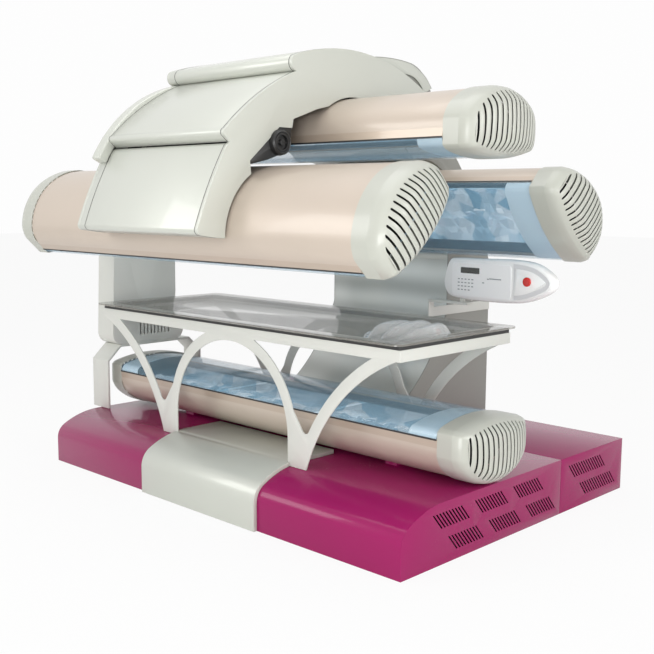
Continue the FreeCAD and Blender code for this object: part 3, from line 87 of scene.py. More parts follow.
# ---------------------------------------------------------------- node trees
class Sock:
    """A socket that adds Math nodes when it is used in a sum."""

    def __init__(self, tree: "Tree", socket: bpy.types.NodeSocket) -> None:
        """Keep the tree and the socket together."""
        self.tree = tree
        self.socket = socket

    def _math(self, operation: str, first: object, second: object) -> "Sock":
        """Add one Math node.

        Args:
            operation: The Math node's operation.
            first: Its first value or socket.
            second: Its second value or socket.

        Returns:
            The node's result.
        """
        return self.tree.add("ShaderNodeMath", {"operation": operation}, {0: first, 1: second})

    def __add__(self, other: object) -> "Sock":
        """Sum."""
        return self._math("ADD", self, other)

    __radd__ = __add__

    def __sub__(self, other: object) -> "Sock":
        """Difference."""
        return self._math("SUBTRACT", self, other)

    def __rsub__(self, other: object) -> "Sock":
        """Reflected difference."""
        return self._math("SUBTRACT", other, self)

    def __mul__(self, other: object) -> "Sock":
        """Product."""
        return self._math("MULTIPLY", self, other)

    __rmul__ = __mul__

    def clamp(self, low: float, high: float) -> "Sock":
        """The value held between two limits."""
        return self._math("MINIMUM", self._math("MAXIMUM", self, low), high)


class Tree:
    """A node tree built through one method."""

    def __init__(self, tree: bpy.types.NodeTree) -> None:
        """Keep the tree."""
        self.tree = tree

    def add(self, kind: str, settings: dict, inputs: dict, output: Union[int, str] = 0) -> Sock:
        """Add any node.

        Args:
            kind: The node's type.
            settings: Its properties, set first.
            inputs: Values or sockets by input name or number.
            output: Which output to hand back.

        Returns:
            The chosen output, or the node's first input where it has no output.
        """
        node = self.tree.nodes.new(kind)
        for key, value in settings.items():
            setattr(node, key, value)
        for key, value in inputs.items():
            if isinstance(value, Sock):
                self.tree.links.new(value.socket, node.inputs[key])
            else:
                node.inputs[key].default_value = value
        return Sock(self, node.outputs[output] if node.outputs else node.inputs[0])


class Shader(Tree):
    """A material's node tree."""

    def __init__(self, name: str) -> None:
        """Start a material with no nodes.

        Args:
            name: The material's name.
        """
        self.material = bpy.data.materials.new(name)
        self.material.use_nodes = True
        super().__init__(self.material.node_tree)
        self.tree.nodes.clear()


class Recipe(Tree):
    """A Geometry Nodes tree with named inputs for its sizes."""

    def __init__(self, name: str, sizes: dict[str, Union[int, float]]) -> None:
        """Make the tree's inputs and keep their identifiers.

        Args:
            name: The tree's name.
            sizes: Its named inputs with the values that a run gives them.
        """
        super().__init__(bpy.data.node_groups.new(name, "GeometryNodeTree"))
        rows = self.tree.interface
        rows.new_socket(name="Places", in_out="INPUT", socket_type="NodeSocketGeometry")
        rows.new_socket(name="Result", in_out="OUTPUT", socket_type="NodeSocketGeometry")
        self.sizes = sizes
        self.keys = {}
        for label, value in sizes.items():
            kind = "NodeSocketInt" if isinstance(value, int) else "NodeSocketFloat"
            self.keys[label] = rows.new_socket(name=label, in_out="INPUT", socket_type=kind).identifier
        self.entry = self.tree.nodes.new("NodeGroupInput")

    def size(self, label: str) -> Sock:
        """A named input as a socket."""
        return Sock(self, self.entry.outputs[label])

    def finish(self, copies: dict[str, Sock], skin: "Skin") -> None:
        """Put copies on the places and end the tree with Realize Instances and Set Material.

        Args:
            copies: Inputs of the node that puts one copy on each place.
            skin: Their finish.
        """
        grown = self.add("GeometryNodeInstanceOnPoints", {}, {"Points": self.size("Places"), **copies})
        whole = self.add("GeometryNodeRealizeInstances", {}, {"Geometry": grown})
        coated = self.add("GeometryNodeSetMaterial", {}, {"Geometry": whole, "Material": skin.material})
        self.add("NodeGroupOutput", {}, {0: coated})

    def run(self, places: Sequence[Point], facing: Point = (0.0, 0.0, 1.0)) -> bpy.types.Mesh:
        """Grow the pattern on a set of places.

        Args:
            places: Points in millimetres.
            facing: The way that every copy points.

        Returns:
            A plain mesh.
        """
        mesh = bpy.data.meshes.new("places")
        mesh.from_pydata([Vector(place) * MM for place in places], [], [])
        way = mesh.attributes.new("facing", "FLOAT_VECTOR", "POINT")
        way.data.foreach_set("vector", [part for _ in places for part in facing])
        holder = placed("places", mesh)
        change = holder.modifiers.new("recipe", "NODES")
        change.node_group = self.tree
        for label, value in self.sizes.items():
            change[self.keys[label]] = value
        return evaluated(holder)


# ---------------------------------------------------------------- finishes
CLOUD = {"Scale": 2.3, "Detail": 4.0}
# Wave of the painted reflection bands on the column front.
SHEEN_BAND_WAVE = {"Scale": 2.1, "Distortion": 1.2, "Detail": 1.0}
BRUSH_STRETCH = (0.02, 1.0, 1.0)
GRIT_DETAIL = 3.0
ROUGH_SWING = 1.6
LEAST_ROUGH = 0.02
BUMP_DEPTH = 0.001
COAT_ROUGHNESS = 0.06
RIM_BLEND = 0.35


class Grain(Enum):
    """Pattern that a finish shows close up; two of them are partly painted reflections."""

    PLAIN = "plain"
    BRUSHED = "brushed"
    PAINTED_SHEEN_BANDS = "banded"
    CRINKLE_AND_PAINTED_GLINTS = "crinkle_and_painted_glints"


@dataclass(frozen=True)
class Finish:
    """One surface finish."""

    name: str
    colour: tuple[float, float, float]
    roughness: float
    grain: Grain = Grain.PLAIN
    metallic: float = 0.0
    coat: float = 0.0
    alpha: float = 1.0
    rim: float = 0.0
    uneven: float = 0.05
    bump: float = 0.1
    scale: float = 60.0
    specular: float = 0.5
    # Emission of the surface's own colour: painted light on the reflector, the glow of the burners on the
    # quartz.
    glow: float = 0.0
    # The darker colour of painted reflections: the reflector's cells and the column front's bands.
    second: tuple[float, float, float] = (0.0, 0.0, 0.0)

    @property
    def label(self) -> str:
        """The material's name, unlike any name of the record's slots."""
        return f"{self.name}_finish"

    def tint(self, share: float) -> tuple[float, float, float, float]:
        """The colour made lighter or darker by a share, with full alpha."""
        return tuple(min(1.0, max(0.0, part * share)) for part in self.colour) + (1.0,)

    def blended(self, shader: Shader, mask: Sock, low: tuple, high: tuple) -> Sock:
        """A mix of two colours by a mask."""
        return shader.add("ShaderNodeMix", {"data_type": "RGBA"}, {0: mask, 6: low, 7: high}, 2)

    def build(self) -> bpy.types.Material:
        """Make the material.

        Returns:
            The finished material.
        """
        shader = Shader(self.label)
        place = shader.add("ShaderNodeTexCoord", {}, {}, "Object")
        stretch = BRUSH_STRETCH if self.grain is Grain.BRUSHED else (1.0, 1.0, 1.0)
        spot = shader.add("ShaderNodeMapping", {}, {"Vector": place, "Scale": stretch})
        cloud = shader.add("ShaderNodeTexNoise", {}, {"Vector": place, **CLOUD})
        grit = shader.add("ShaderNodeTexNoise", {},
                          {"Vector": spot, "Scale": self.scale, "Detail": GRIT_DETAIL})
        colour = self.blended(shader, cloud, self.tint(1.0 - self.uneven), self.tint(1.0 + self.uneven))
        height = grit
        # Voronoi cells mixed towards the darker second colour are painted reflections and shade of crinkled
        # facets; the cell distance gives real bumps.
        if self.grain is Grain.CRINKLE_AND_PAINTED_GLINTS:
            cell = {"Vector": spot, "Scale": self.scale}
            tint = shader.add("ShaderNodeTexVoronoi", {"feature": "F1"}, cell, "Color")
            pick = shader.add("ShaderNodeSeparateColor", {}, {"Color": tint})
            colour = self.blended(shader, pick, (*self.second, 1.0), colour)
            height = shader.add("ShaderNodeTexVoronoi", {"feature": "F1"}, cell, "Distance")
        # Horizontal wave bands of the darker second colour are painted reflection bands.
        if self.grain is Grain.PAINTED_SHEEN_BANDS:
            bands = shader.add("ShaderNodeTexWave", {"bands_direction": "Z"}, {"Vector": place, **SHEEN_BAND_WAVE})
            colour = self.blended(shader, bands, (*self.second, 1.0), colour)
        rough = (cloud * 0.5 + grit * 0.5 - 0.5) * (self.uneven * ROUGH_SWING) + self.roughness
        normal = shader.add("ShaderNodeBump", {},
                            {"Strength": self.bump, "Distance": BUMP_DEPTH, "Height": height})
        inputs = {"Base Color": colour, "Roughness": rough.clamp(LEAST_ROUGH, 1.0), "Normal": normal,
                  "Metallic": self.metallic, "Coat Weight": self.coat, "Coat Roughness": COAT_ROUGHNESS,
                  "Alpha": self.alpha, "Specular IOR Level": self.specular}
        if self.rim:
            edge = shader.add("ShaderNodeLayerWeight", {}, {"Blend": RIM_BLEND}, "Facing")
            inputs["Alpha"] = (edge * edge * self.rim + self.alpha).clamp(0.0, 1.0)
        # Emission: painted light where the piece is no lamp, as on the reflector.
        if self.glow:
            inputs["Emission Color"] = colour
            inputs["Emission Strength"] = self.glow
        surface = shader.add("ShaderNodeBsdfPrincipled", {}, inputs)
        shader.add("ShaderNodeOutputMaterial", {}, {"Surface": surface})
        shader.material.diffuse_color = (*self.colour, self.alpha)
        return shader.material


class Skin(Enum):
    """The finishes of the bed."""

    MAGENTA = Finish("magenta_lacquer", (0.300, 0.006, 0.098), 0.26, coat=0.25, bump=0.03, scale=180.0,
                     uneven=0.05, specular=0.2)
    SILVER = Finish("silver_paint", (0.565, 0.58, 0.525), 0.38, coat=0.3, bump=0.04, scale=240.0, uneven=0.03,
                    metallic=0.15)
    COLUMN = Finish("column_grey_paint", (0.27, 0.27, 0.245), 0.42, bump=0.06, scale=220.0)
    # The darker horizontal bands on the column front are painted reflections.
    FRONT = Finish("column_front_silver", (0.80, 0.81, 0.76), 0.30, Grain.PAINTED_SHEEN_BANDS, coat=0.3, bump=0.03,
                   scale=240.0, uneven=0.03, metallic=0.2, second=(0.52, 0.53, 0.49))
    BEIGE = Finish("champagne_paint", (0.545, 0.465, 0.390), 0.36, coat=0.25, bump=0.015, scale=260.0,
                   uneven=0.04, metallic=0.1)
    # Darker champagne on the facets is painted shade along the crease.
    FACET = Finish("champagne_painted_shade", (0.50, 0.41, 0.33), 0.30, coat=0.3, bump=0.03, scale=260.0, uneven=0.04,
                   metallic=0.2)
    CAP = Finish("cap_plastic", (0.48, 0.49, 0.435), 0.36, coat=0.2, bump=0.10, scale=420.0, uneven=0.03)
    ACRYLIC = Finish("lamp_acrylic", (0.42, 0.66, 0.82), 0.04, alpha=0.10, rim=0.45, bump=0.02, scale=12.0,
                     uneven=0.02)
    FROSTED = Finish("frosted_band", (0.67, 0.79, 0.86), 0.34, alpha=0.93, bump=0.05, scale=300.0,
                     uneven=0.03)
    # The reflector's near-white and dark-blue cells are painted reflections and shade, and its glow is
    # painted light.
    REFLECTOR = Finish("reflector_sheet", (0.90, 0.96, 1.0), 0.18, Grain.CRINKLE_AND_PAINTED_GLINTS, metallic=0.6, bump=0.5,
                       scale=11.0, uneven=0.06, second=(0.16, 0.36, 0.50), glow=0.42)
    # Dark navy on the reflector's edge strips is painted shadow of the lips.
    LIP_SHADOW = Finish("lip_shadow_navy", (0.045, 0.085, 0.12), 0.4, metallic=0.3)
    FILTER = Finish("filter_glass", (0.30, 0.52, 0.70), 0.05, alpha=0.10, rim=0.3, uneven=0.02)
    QUARTZ = Finish("lamp_quartz", (0.92, 0.95, 0.98), 0.08, alpha=0.8, glow=0.3)
    FAN = Finish("fan_black", (0.02, 0.02, 0.02), 0.5)
    STEEL = Finish("dark_steel", (0.05, 0.05, 0.055), 0.5)
    SHAFT = Finish("ground_steel", (0.62, 0.62, 0.63), 0.25, Grain.BRUSHED, metallic=1.0)
    BUSH = Finish("bearing_polymer", (0.75, 0.74, 0.68), 0.45)
    WHITE = Finish("white_powder_coat", (0.64, 0.645, 0.60), 0.33, bump=0.08, scale=500.0, uneven=0.03)
    BENCH = Finish("bench_acrylic", (0.36, 0.34, 0.295), 0.05, alpha=0.40, rim=0.30, bump=0.01, uneven=0.05,
                   coat=0.5)
    SEAL = Finish("seal_rubber", (0.03, 0.03, 0.03), 0.6)
    PILLOW = Finish("pillow_acrylic", (0.86, 0.88, 0.87), 0.05, alpha=0.10, rim=1.0, coat=0.6, uneven=0.02)
    LINER = Finish("liner_black", (0.014, 0.014, 0.014), 0.40)
    POD = Finish("pod_white", (0.93, 0.93, 0.92), 0.22, coat=0.4, bump=0.02, uneven=0.02)
    BEVEL = Finish("pod_bevel_grey", (0.70, 0.70, 0.71), 0.35, uneven=0.02)
    LABEL = Finish("membrane_white", (0.91, 0.91, 0.91), 0.4, uneven=0.02)
    INK = Finish("key_ink", (0.30, 0.32, 0.33), 0.5, uneven=0.02)
    SCREEN = Finish("display_dark", (0.02, 0.025, 0.02), 0.1, coat=0.8)
    STOP = Finish("stop_red", (0.62, 0.02, 0.015), 0.25, coat=0.5)
    CHROME = Finish("bright_screw", (0.75, 0.75, 0.74), 0.2, Grain.BRUSHED, metallic=1.0)
    # Near black on the bulkheads is painted shade inside the caps.
    SHADE = Finish("inner_shade", (0.006, 0.006, 0.006), 0.9)

    @property
    def material(self) -> bpy.types.Material:
        """The material, made on first use."""
        found = bpy.data.materials.get(self.value.label)
        return found or self.value.build()


# ---------------------------------------------------------------- mesh helpers
WELD = 1e-5
FLAT_ANGLE = math.radians(0.6)
ARC_ANGLE = math.radians(9)


def shade(mesh: bpy.types.Mesh, angle: float) -> None:
    """Smooth a mesh except over edges sharper than an angle in degrees."""
    mesh.polygons.foreach_set("use_smooth", [True] * len(mesh.polygons))
    mesh.set_sharp_from_angle(angle=math.radians(angle))


def piece(name: str, mesh: bpy.types.Mesh, skins: Union["Skin", Sequence["Skin"]], body: str,
          angle: float = 32.0, stands_for: Sequence[str] = ()) -> bpy.types.Object:
    """Put a mesh in the scene as a finished piece.

    Args:
        name: The piece's name.
        mesh: Its mesh, in the bed's own frame.
        skins: Its finish, or several in the order of its face indices.
        body: The CAD body it moves with.
        angle: Edges sharper than this stay sharp, in degrees.
        stands_for: CAD nodes that it replaces.

    Returns:
        The object.
    """
    mesh.name = name
    kinds = [face.material_index for face in mesh.polygons]
    mesh.materials.clear()
    for skin in (skins,) if isinstance(skins, Skin) else skins:
        mesh.materials.append(skin.material)
    mesh.polygons.foreach_set("material_index", kinds)
    shade(mesh, angle)
    item = placed(name, mesh)
    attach(item, body)
    if stands_for:
        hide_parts(*stands_for)
    LOG.info("%s: %d faces", name, len(mesh.polygons))
    return item


def mesh_from(points: Sequence[Point], faces: Sequence[Sequence[int]], kinds: Sequence[int] = (),
              outward: bool = True) -> bpy.types.Mesh:
    """A welded mesh from points in millimetres.

    Args:
        points: The points.
        faces: Point numbers of each face.
        kinds: Finish number of each face, or nothing where there is one finish.
        outward: Whether the faces are turned outwards.

    Returns:
        The mesh, in metres.
    """
    mesh = bpy.data.meshes.new("mesh")
    mesh.from_pydata([(x * MM, y * MM, z * MM) for x, y, z in points], [], faces)
    if kinds:
        mesh.polygons.foreach_set("material_index", list(kinds))
    shell = bmesh.new()
    shell.from_mesh(mesh)
    bmesh.ops.remove_doubles(shell, verts=shell.verts, dist=WELD)
    if outward:
        bmesh.ops.recalc_face_normals(shell, faces=shell.faces)
    shell.to_mesh(mesh)
    shell.free()
    return mesh


def modified(mesh: bpy.types.Mesh, steps: Sequence[tuple[str, dict]]) -> bpy.types.Mesh:
    """Run modifiers over a mesh and hand back the plain result.

    Args:
        mesh: The mesh to work on.
        steps: Pairs of modifier type and settings.

    Returns:
        A new mesh.
    """
    holder = placed("holder", mesh)
    for kind, settings in steps:
        change = holder.modifiers.new(kind.lower(), kind)
        for key, value in settings.items():
            setattr(change, key, value)
    return evaluated(holder)


def walled(mesh: bpy.types.Mesh, thickness: float, edge: float = 0.0) -> bpy.types.Mesh:
    """Give a surface a wall, and rounded edges where wanted.

    Args:
        mesh: The surface.
        thickness: The wall, half of it on each side, in millimetres.
        edge: The rounding of its edges, in millimetres.

    Returns:
        The walled mesh.
    """
    steps = [("SOLIDIFY", {"thickness": thickness * MM, "offset": 0.0, "use_quality_normals": True})]
    if edge:
        steps.append(rounding(edge))
    return modified(mesh, steps)


def rounding(width: float, segments: int = 2, angle: float = 32.0) -> tuple[str, dict]:
    """The Bevel step that rounds sharp edges by a width in millimetres."""
    return ("BEVEL", {"width": width * MM, "segments": segments, "limit_method": "ANGLE",
                      "angle_limit": math.radians(angle), "use_clamp_overlap": True})


def joined(meshes: Sequence[bpy.types.Mesh]) -> bpy.types.Mesh:
    """Join meshes with their finish numbers kept.

    Args:
        meshes: The meshes.

    Returns:
        One mesh.
    """
    whole = bmesh.new()
    for mesh in meshes:
        whole.from_mesh(mesh)
    result = bpy.data.meshes.new("joined")
    whole.to_mesh(result)
    whole.free()
    return result


def cad_copy(node: str, shift: Point = (0.0, 0.0, 0.0)) -> bpy.types.Mesh:
    """Copy a CAD node's mesh, welded and with its flat faces joined.

    Args:
        node: The node's name.
        shift: How far the copy is moved, in millimetres.

    Returns:
        The copy.
    """
    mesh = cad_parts[node].data.copy()
    shell = bmesh.new()
    shell.from_mesh(mesh)
    bmesh.ops.remove_doubles(shell, verts=shell.verts, dist=WELD)
    bmesh.ops.dissolve_limit(shell, angle_limit=FLAT_ANGLE, verts=shell.verts, edges=shell.edges)
    shell.to_mesh(mesh)
    shell.free()
    mesh.normals_split_custom_set([(0.0, 0.0, 0.0)] * len(mesh.loops))
    mesh.transform(Matrix.Translation(Vector(shift) * MM))
    return mesh


def arc(begin: Flat, finish: Sequence[float], fine: float = 7.0) -> list[Flat]:
    """Points after begin along a line or a short arc to finish.

    Args:
        begin: The first point.
        finish: The last point, with a radius where it is an arc: positive turns left, negative right.
        fine: Longest step along the arc.

    Returns:
        The points up to and with finish.
    """
    if len(finish) < 3:
        return [tuple(finish)]
    radius = finish[2]
    across, up = finish[0] - begin[0], finish[1] - begin[1]
    chord = math.hypot(across, up)
    rise = math.copysign(math.sqrt(max(radius * radius - chord * chord / 4, 0.0)), radius)
    centre = ((begin[0] + finish[0]) / 2 - up / chord * rise,
              (begin[1] + finish[1]) / 2 + across / chord * rise)
    first = math.atan2(begin[1] - centre[1], begin[0] - centre[0])
    turn = math.atan2(finish[1] - centre[1], finish[0] - centre[0]) - first
    full = 2 * math.pi
    turn = turn % full if radius > 0 else -((-turn) % full)
    count = max(2, math.ceil(abs(turn * radius) / fine), math.ceil(abs(turn) / ARC_ANGLE))
    return [(centre[0] + abs(radius) * math.cos(first + turn * step / count),
             centre[1] + abs(radius) * math.sin(first + turn * step / count)) for step in range(1, count + 1)]


def outline(steps: Sequence[Sequence[float]]) -> list[Flat]:
    """Draw a path of lines and arcs.

    Args:
        steps: The first point, then each step's end with a radius where it is an arc.

    Returns:
        The path's points.
    """
    points = [tuple(steps[0][:2])]
    for step in steps[1:]:
        points += arc(points[-1], step)
    return points


def spline(corners: Sequence[Flat], parts: int = 8, closed: bool = True) -> list[Flat]:
    """A smooth curve through corners.

    Args:
        corners: The points that it passes through.
        parts: Steps between two corners.
        closed: Whether it returns to its start.

    Returns:
        The curve's points.
    """
    count = len(corners)
    spans = count if closed else count - 1
    points = []
    for span in range(spans):
        picks = [corners[(span + step) % count] if closed else corners[min(max(span + step, 0), count - 1)]
                 for step in (-1, 0, 1, 2)]
        for part in range(parts):
            at = part / parts
            points.append(tuple(0.5 * (2 * near + (far - before) * at
                                       + (2 * before - 5 * near + 4 * far - after) * at ** 2
                                       + (3 * near - before - 3 * far + after) * at ** 3)
                                for before, near, far, after in zip(*picks)))
    return points if closed else points + [tuple(corners[-1])]


def aside(points: Sequence[Flat], offset: float, closed: bool = True) -> list[Flat]:
    """A path moved to its right-hand side.

    Args:
        points: The path.
        offset: How far it moves.
        closed: Whether the path returns to its start.

    Returns:
        The moved path.
    """
    count = len(points)
    moved = []
    for step, (along, up) in enumerate(points):
        before = points[step - 1] if closed or step else points[0]
        after = points[(step + 1) % count] if closed or step + 1 < count else points[-1]
        run, rise = after[0] - before[0], after[1] - before[1]
        length = math.hypot(run, rise) or 1.0
        moved.append((along + rise / length * offset, up - run / length * offset))
    return moved


def grid(rows: int, columns: int, closed: bool = False) -> list[tuple[int, ...]]:
    """Number the faces between rows of points.

    Args:
        rows: How many rows there are.
        columns: Points in each row.
        closed: Whether each row is a ring.

    Returns:
        The faces, row by row.
    """
    spans = columns if closed else columns - 1
    return [(row * columns + step, row * columns + (step + 1) % columns,
             (row + 1) * columns + (step + 1) % columns, (row + 1) * columns + step)
            for row in range(rows - 1) for step in range(spans)]


def slab(points: Sequence[Flat], left: float, right: float) -> bpy.types.Mesh:
    """Make a closed side-view outline solid.

    Args:
        points: The outline.
        left: Its place along the bed on one side.
        right: Its place on the other.

    Returns:
        The body.
    """
    count = len(points)
    corners = [(x, y, z) for x in (left, right) for y, z in points]
    return mesh_from(corners, grid(2, count, True) + [tuple(range(count)), tuple(range(count, 2 * count))])


def swept(points: Sequence[Flat], left: float, right: float) -> bpy.types.Mesh:
    """Draw an open side-view path out along the bed.

    Args:
        points: The path.
        left: Where the sheet begins.
        right: Where it ends.

    Returns:
        The sheet, with no thickness.
    """
    return mesh_from([(x, y, z) for x in (left, right) for y, z in points], grid(2, len(points)))


@dataclass(frozen=True)
class Dressing:
    """How one CAD node is finished."""

    node: str
    skin: Skin
    slot: str
    width: float = 2.0
    angle: float = 32.0
    body: str = "stand"
    shift: Point = (0.0, 0.0, 0.0)

    def build(self) -> None:
        """Round the node's sharp edges and put the result in the node's place."""
        mesh = modified(cad_copy(self.node, self.shift), [rounding(self.width, angle=self.angle)])
        piece(self.node + "_soft", mesh, self.skin, self.body, self.angle, (self.node,))


# ---------------------------------------------------------------- stage and camera
@dataclass(frozen=True)
class Viewpoint:
    """Where the bed is looked at from."""

    place: Point = (3.19928, -3.31332, 1.32733)
    yaw: float = 0.7686
    pitch: float = 0.1313
    roll: float = -0.0059
    focal_pixels: float = 972.18
    frame_pixels: float = 654.0
    sensor: float = 36.0

    def build(self) -> None:
        """Make the camera."""
        forward = Vector((-math.sin(self.yaw) * math.cos(self.pitch),
                          math.cos(self.yaw) * math.cos(self.pitch), -math.sin(self.pitch)))
        right = Vector((math.cos(self.yaw), math.sin(self.yaw), 0.0))
        down = forward.cross(right)
        across = right * math.cos(self.roll) + down * math.sin(self.roll)
        low = down * math.cos(self.roll) - right * math.sin(self.roll)
        data = bpy.data.cameras.new("viewpoint")
        data.sensor_width = self.sensor
        data.lens = self.focal_pixels / self.frame_pixels * self.sensor
        camera = placed("viewpoint", data)
        turn = Matrix((across, -low, -forward)).transposed()
        camera.matrix_world = Matrix.Translation(Vector(self.place)) @ turn.to_4x4()
        bpy.context.scene.camera = camera


@dataclass(frozen=True)
class Lamp:
    """One soft area lamp."""

    name: str
    place: Point
    target: Point
    power: float
    size: float

    def build(self) -> None:
        """Make the lamp."""
        data = bpy.data.lights.new(self.name, "AREA")
        data.energy = self.power
        data.size = self.size
        lamp = placed(self.name, data)
        aim = (Vector(self.target) - Vector(self.place)).to_track_quat("-Z", "Y")
        lamp.matrix_world = Matrix.Translation(Vector(self.place)) @ aim.to_matrix().to_4x4()


@dataclass(frozen=True)
class Studio:
    """Pale floor, soft world light and area lamps."""

    ambient: float = 0.56
    backdrop: float = 0.985
    floor_lift: float = 0.92
    floor_half: float = 30000.0
    floor_drop: float = 1.0
    floor_tone: tuple[float, float, float, float] = (0.90, 0.90, 0.89, 1.0)
    floor_glow: float = 0.99
    floor_mirror: float = 0.6
    white: tuple[float, float, float, float] = (1.0, 1.0, 1.0, 1.0)
    lamps: tuple[Lamp, ...] = (
        Lamp("left_softbox", (-2.6, -5.0, 3.0), (0.0, -0.2, 0.9), 72.0, 2.2),
        Lamp("right_softbox", (5.2, -0.6, 2.4), (0.0, 0.0, 1.0), 80.0, 2.0),
        Lamp("overhead", (0.0, -0.8, 4.6), (0.0, 0.0, 0.8), 56.0, 3.0),
        Lamp("front_fill", (3.4, -4.8, 0.9), (0.3, 0.2, 0.9), 105.0, 1.8),
    )

    @staticmethod
    def rays(tree: Tree) -> tuple[Sock, ...]:
        """Whether a ray comes from the camera, off a gloss or through a clear piece."""
        return tuple(tree.add("ShaderNodeLightPath", {}, {}, f"Is {kind} Ray")
                     for kind in ("Camera", "Glossy", "Transmission"))

    def build(self) -> None:
        """Make the world, the floor and the lamps."""
        bpy.context.scene.view_settings.view_transform = "Standard"
        world = bpy.data.worlds.new("studio")
        bpy.context.scene.world = world
        world.use_nodes = True
        tree = Tree(world.node_tree)
        tree.tree.nodes.clear()
        seen, glossy, through = self.rays(tree)
        soft, bright = (tree.add("ShaderNodeBackground", {}, {"Color": self.white, "Strength": strength})
                        for strength in (self.ambient, self.backdrop))
        share = (seen + glossy + through).clamp(0.0, 1.0)
        mix = tree.add("ShaderNodeMixShader", {}, {0: share, 1: soft, 2: bright})
        tree.add("ShaderNodeOutputWorld", {}, {"Surface": mix})
        self.build_floor()
        for lamp in self.lamps:
            lamp.build()

    def build_floor(self) -> None:
        """Make the floor, near white to the camera and with the bed's shadow kept."""
        half = self.floor_half
        corners = [(x * half, y * half, -self.floor_drop) for x, y in ((-1, -1), (1, -1), (1, 1), (-1, 1))]
        mesh = mesh_from(corners, [(0, 1, 2, 3)], outward=False)
        shader = Shader("pale_floor")
        matt = shader.add("ShaderNodeBsdfDiffuse", {}, {"Color": self.floor_tone})
        bright = shader.add("ShaderNodeEmission", {}, {"Color": self.white, "Strength": self.floor_glow})
        seen, glossy, through = self.rays(shader)
        lift = (seen + glossy * self.floor_mirror + through).clamp(0.0, 1.0) * self.floor_lift
        look = shader.add("ShaderNodeMixShader", {}, {0: lift, 1: matt, 2: bright})
        shader.add("ShaderNodeOutputMaterial", {}, {"Surface": look})
        mesh.materials.append(shader.material)
        placed("floor", mesh)


# ---------------------------------------------------------------- lamp tubes
@dataclass(frozen=True)
class Section:
    """The section of a lamp tube, in millimetres: u across its mouth and w out through the acrylic."""

    half: float = 226.0
    depth: float = 192.0
    haunch: float = 120.0
    rise: float = 65.0
    shoulder: float = 40.0
    facet: float = 35.0
    tilt: float = 4.0

    @property
    def foot(self) -> float:
        """Half width where the facet meets the haunch."""
        return self.half - self.tilt

    @property
    def crown(self) -> float:
        """Radius of the shell's back."""
        span = self.depth - self.facet
        return (self.foot ** 2 + span ** 2 - 2 * self.foot * self.haunch) / (2 * (span - self.haunch))

    @property
    def dome(self) -> float:
        """Radius of the acrylic's middle."""
        return ((self.half ** 2 + self.rise ** 2 - 2 * self.half * self.shoulder)
                / (2 * (self.rise - self.shoulder)))

    def shell_points(self, inset: float, steps: int = 16) -> list[Flat]:
        """Right half of the shell, from the middle of its back to the foot of the facet.

        Args:
            inset: How far inside the outer face it runs.
            steps: Parts of each arc.

        Returns:
            Its points.
        """
        crown, haunch = self.crown - inset, self.haunch - inset
        crown_w = self.crown - self.depth
        centre = (self.foot - self.haunch, -self.facet)
        lean = math.atan2(centre[0], crown_w - centre[1])
        points = [(crown * math.sin(lean * step / steps), crown_w - crown * math.cos(lean * step / steps))
                  for step in range(steps + 1)]
        for step in range(1, steps + 1):
            angle = lean + (math.pi / 2 - lean) * step / steps
            points.append((centre[0] + haunch * math.sin(angle), centre[1] - haunch * math.cos(angle)))
        return points

    def dome_points(self, inset: float, steps: int = 16) -> list[Flat]:
        """Right half of the acrylic from its lip to the middle.

        Args:
            inset: How far inside the outer face it runs.
            steps: Parts of each arc.

        Returns:
            Its points.
        """
        dome, shoulder = self.dome - inset, self.shoulder - inset
        dome_w = self.rise - self.dome
        centre = (self.half - self.shoulder, 0.0)
        lean = math.atan2(centre[0], -dome_w)
        turn = math.pi / 2 - lean
        points = [(centre[0] + shoulder * math.cos(turn * step / steps),
                   shoulder * math.sin(turn * step / steps)) for step in range(steps + 1)]
        for step in range(1, steps + 1):
            angle = lean * (1 - step / steps)
            points.append((dome * math.sin(angle), dome_w + dome * math.cos(angle)))
        return points

    def loop(self, inset: float) -> list[Flat]:
        """The whole section, anticlockwise from the middle of the shell's back."""
        right = self.shell_points(inset) + self.dome_points(inset)
        return right + [(-u, w) for u, w in reversed(right[1:-1])]

    def shell_path(self, inset: float) -> list[Flat]:
        """The shell from lip to lip."""
        right = self.shell_points(inset) + [(self.half - inset, 0.0)]
        return [(-u, w) for u, w in reversed(right[1:])] + right

    def dome_path(self, inset: float) -> list[Flat]:
        """The acrylic from lip to lip."""
        right = self.dome_points(inset)
        return right + [(-u, w) for u, w in reversed(right[:-1])]


SECTION = Section()


@dataclass(frozen=True)
class TubePlace:
    """One lamp tube: the middle of its mouth, its turn about X and the height of its CAD solids."""

    name: str
    y: float
    z: float
    turn: float
    body: str
    solid_z: float

    def world(self, x: float, u: float, w: float) -> Point:
        """Place a point given in the tube's own frame.

        Args:
            x: Place along the bed.
            u: Place across the mouth.
            w: Height out of the mouth.

        Returns:
            The point in the bed's frame.
        """
        angle = math.radians(self.turn)
        return (x, self.y + u * math.cos(angle) + w * math.sin(angle),
                self.z - u * math.sin(angle) + w * math.cos(angle))

    def side(self, u: float, w: float) -> Flat:
        """The side-view place of a point in the tube's own frame."""
        return self.world(0.0, u, w)[1:]


TUBES = {
    "lower": TubePlace("lower", -252.0, 437.0, 0.0, "stand", 437.0),
    "front": TubePlace("front", -739.0, 1237.0, 135.0, "canopy", 1250.0),
    "top": TubePlace("top", -257.0, 1547.0, 180.0, "canopy", 1547.0),
    "back": TubePlace("back", 273.0, 1241.0, 225.0, "stand", 1269.0),
}


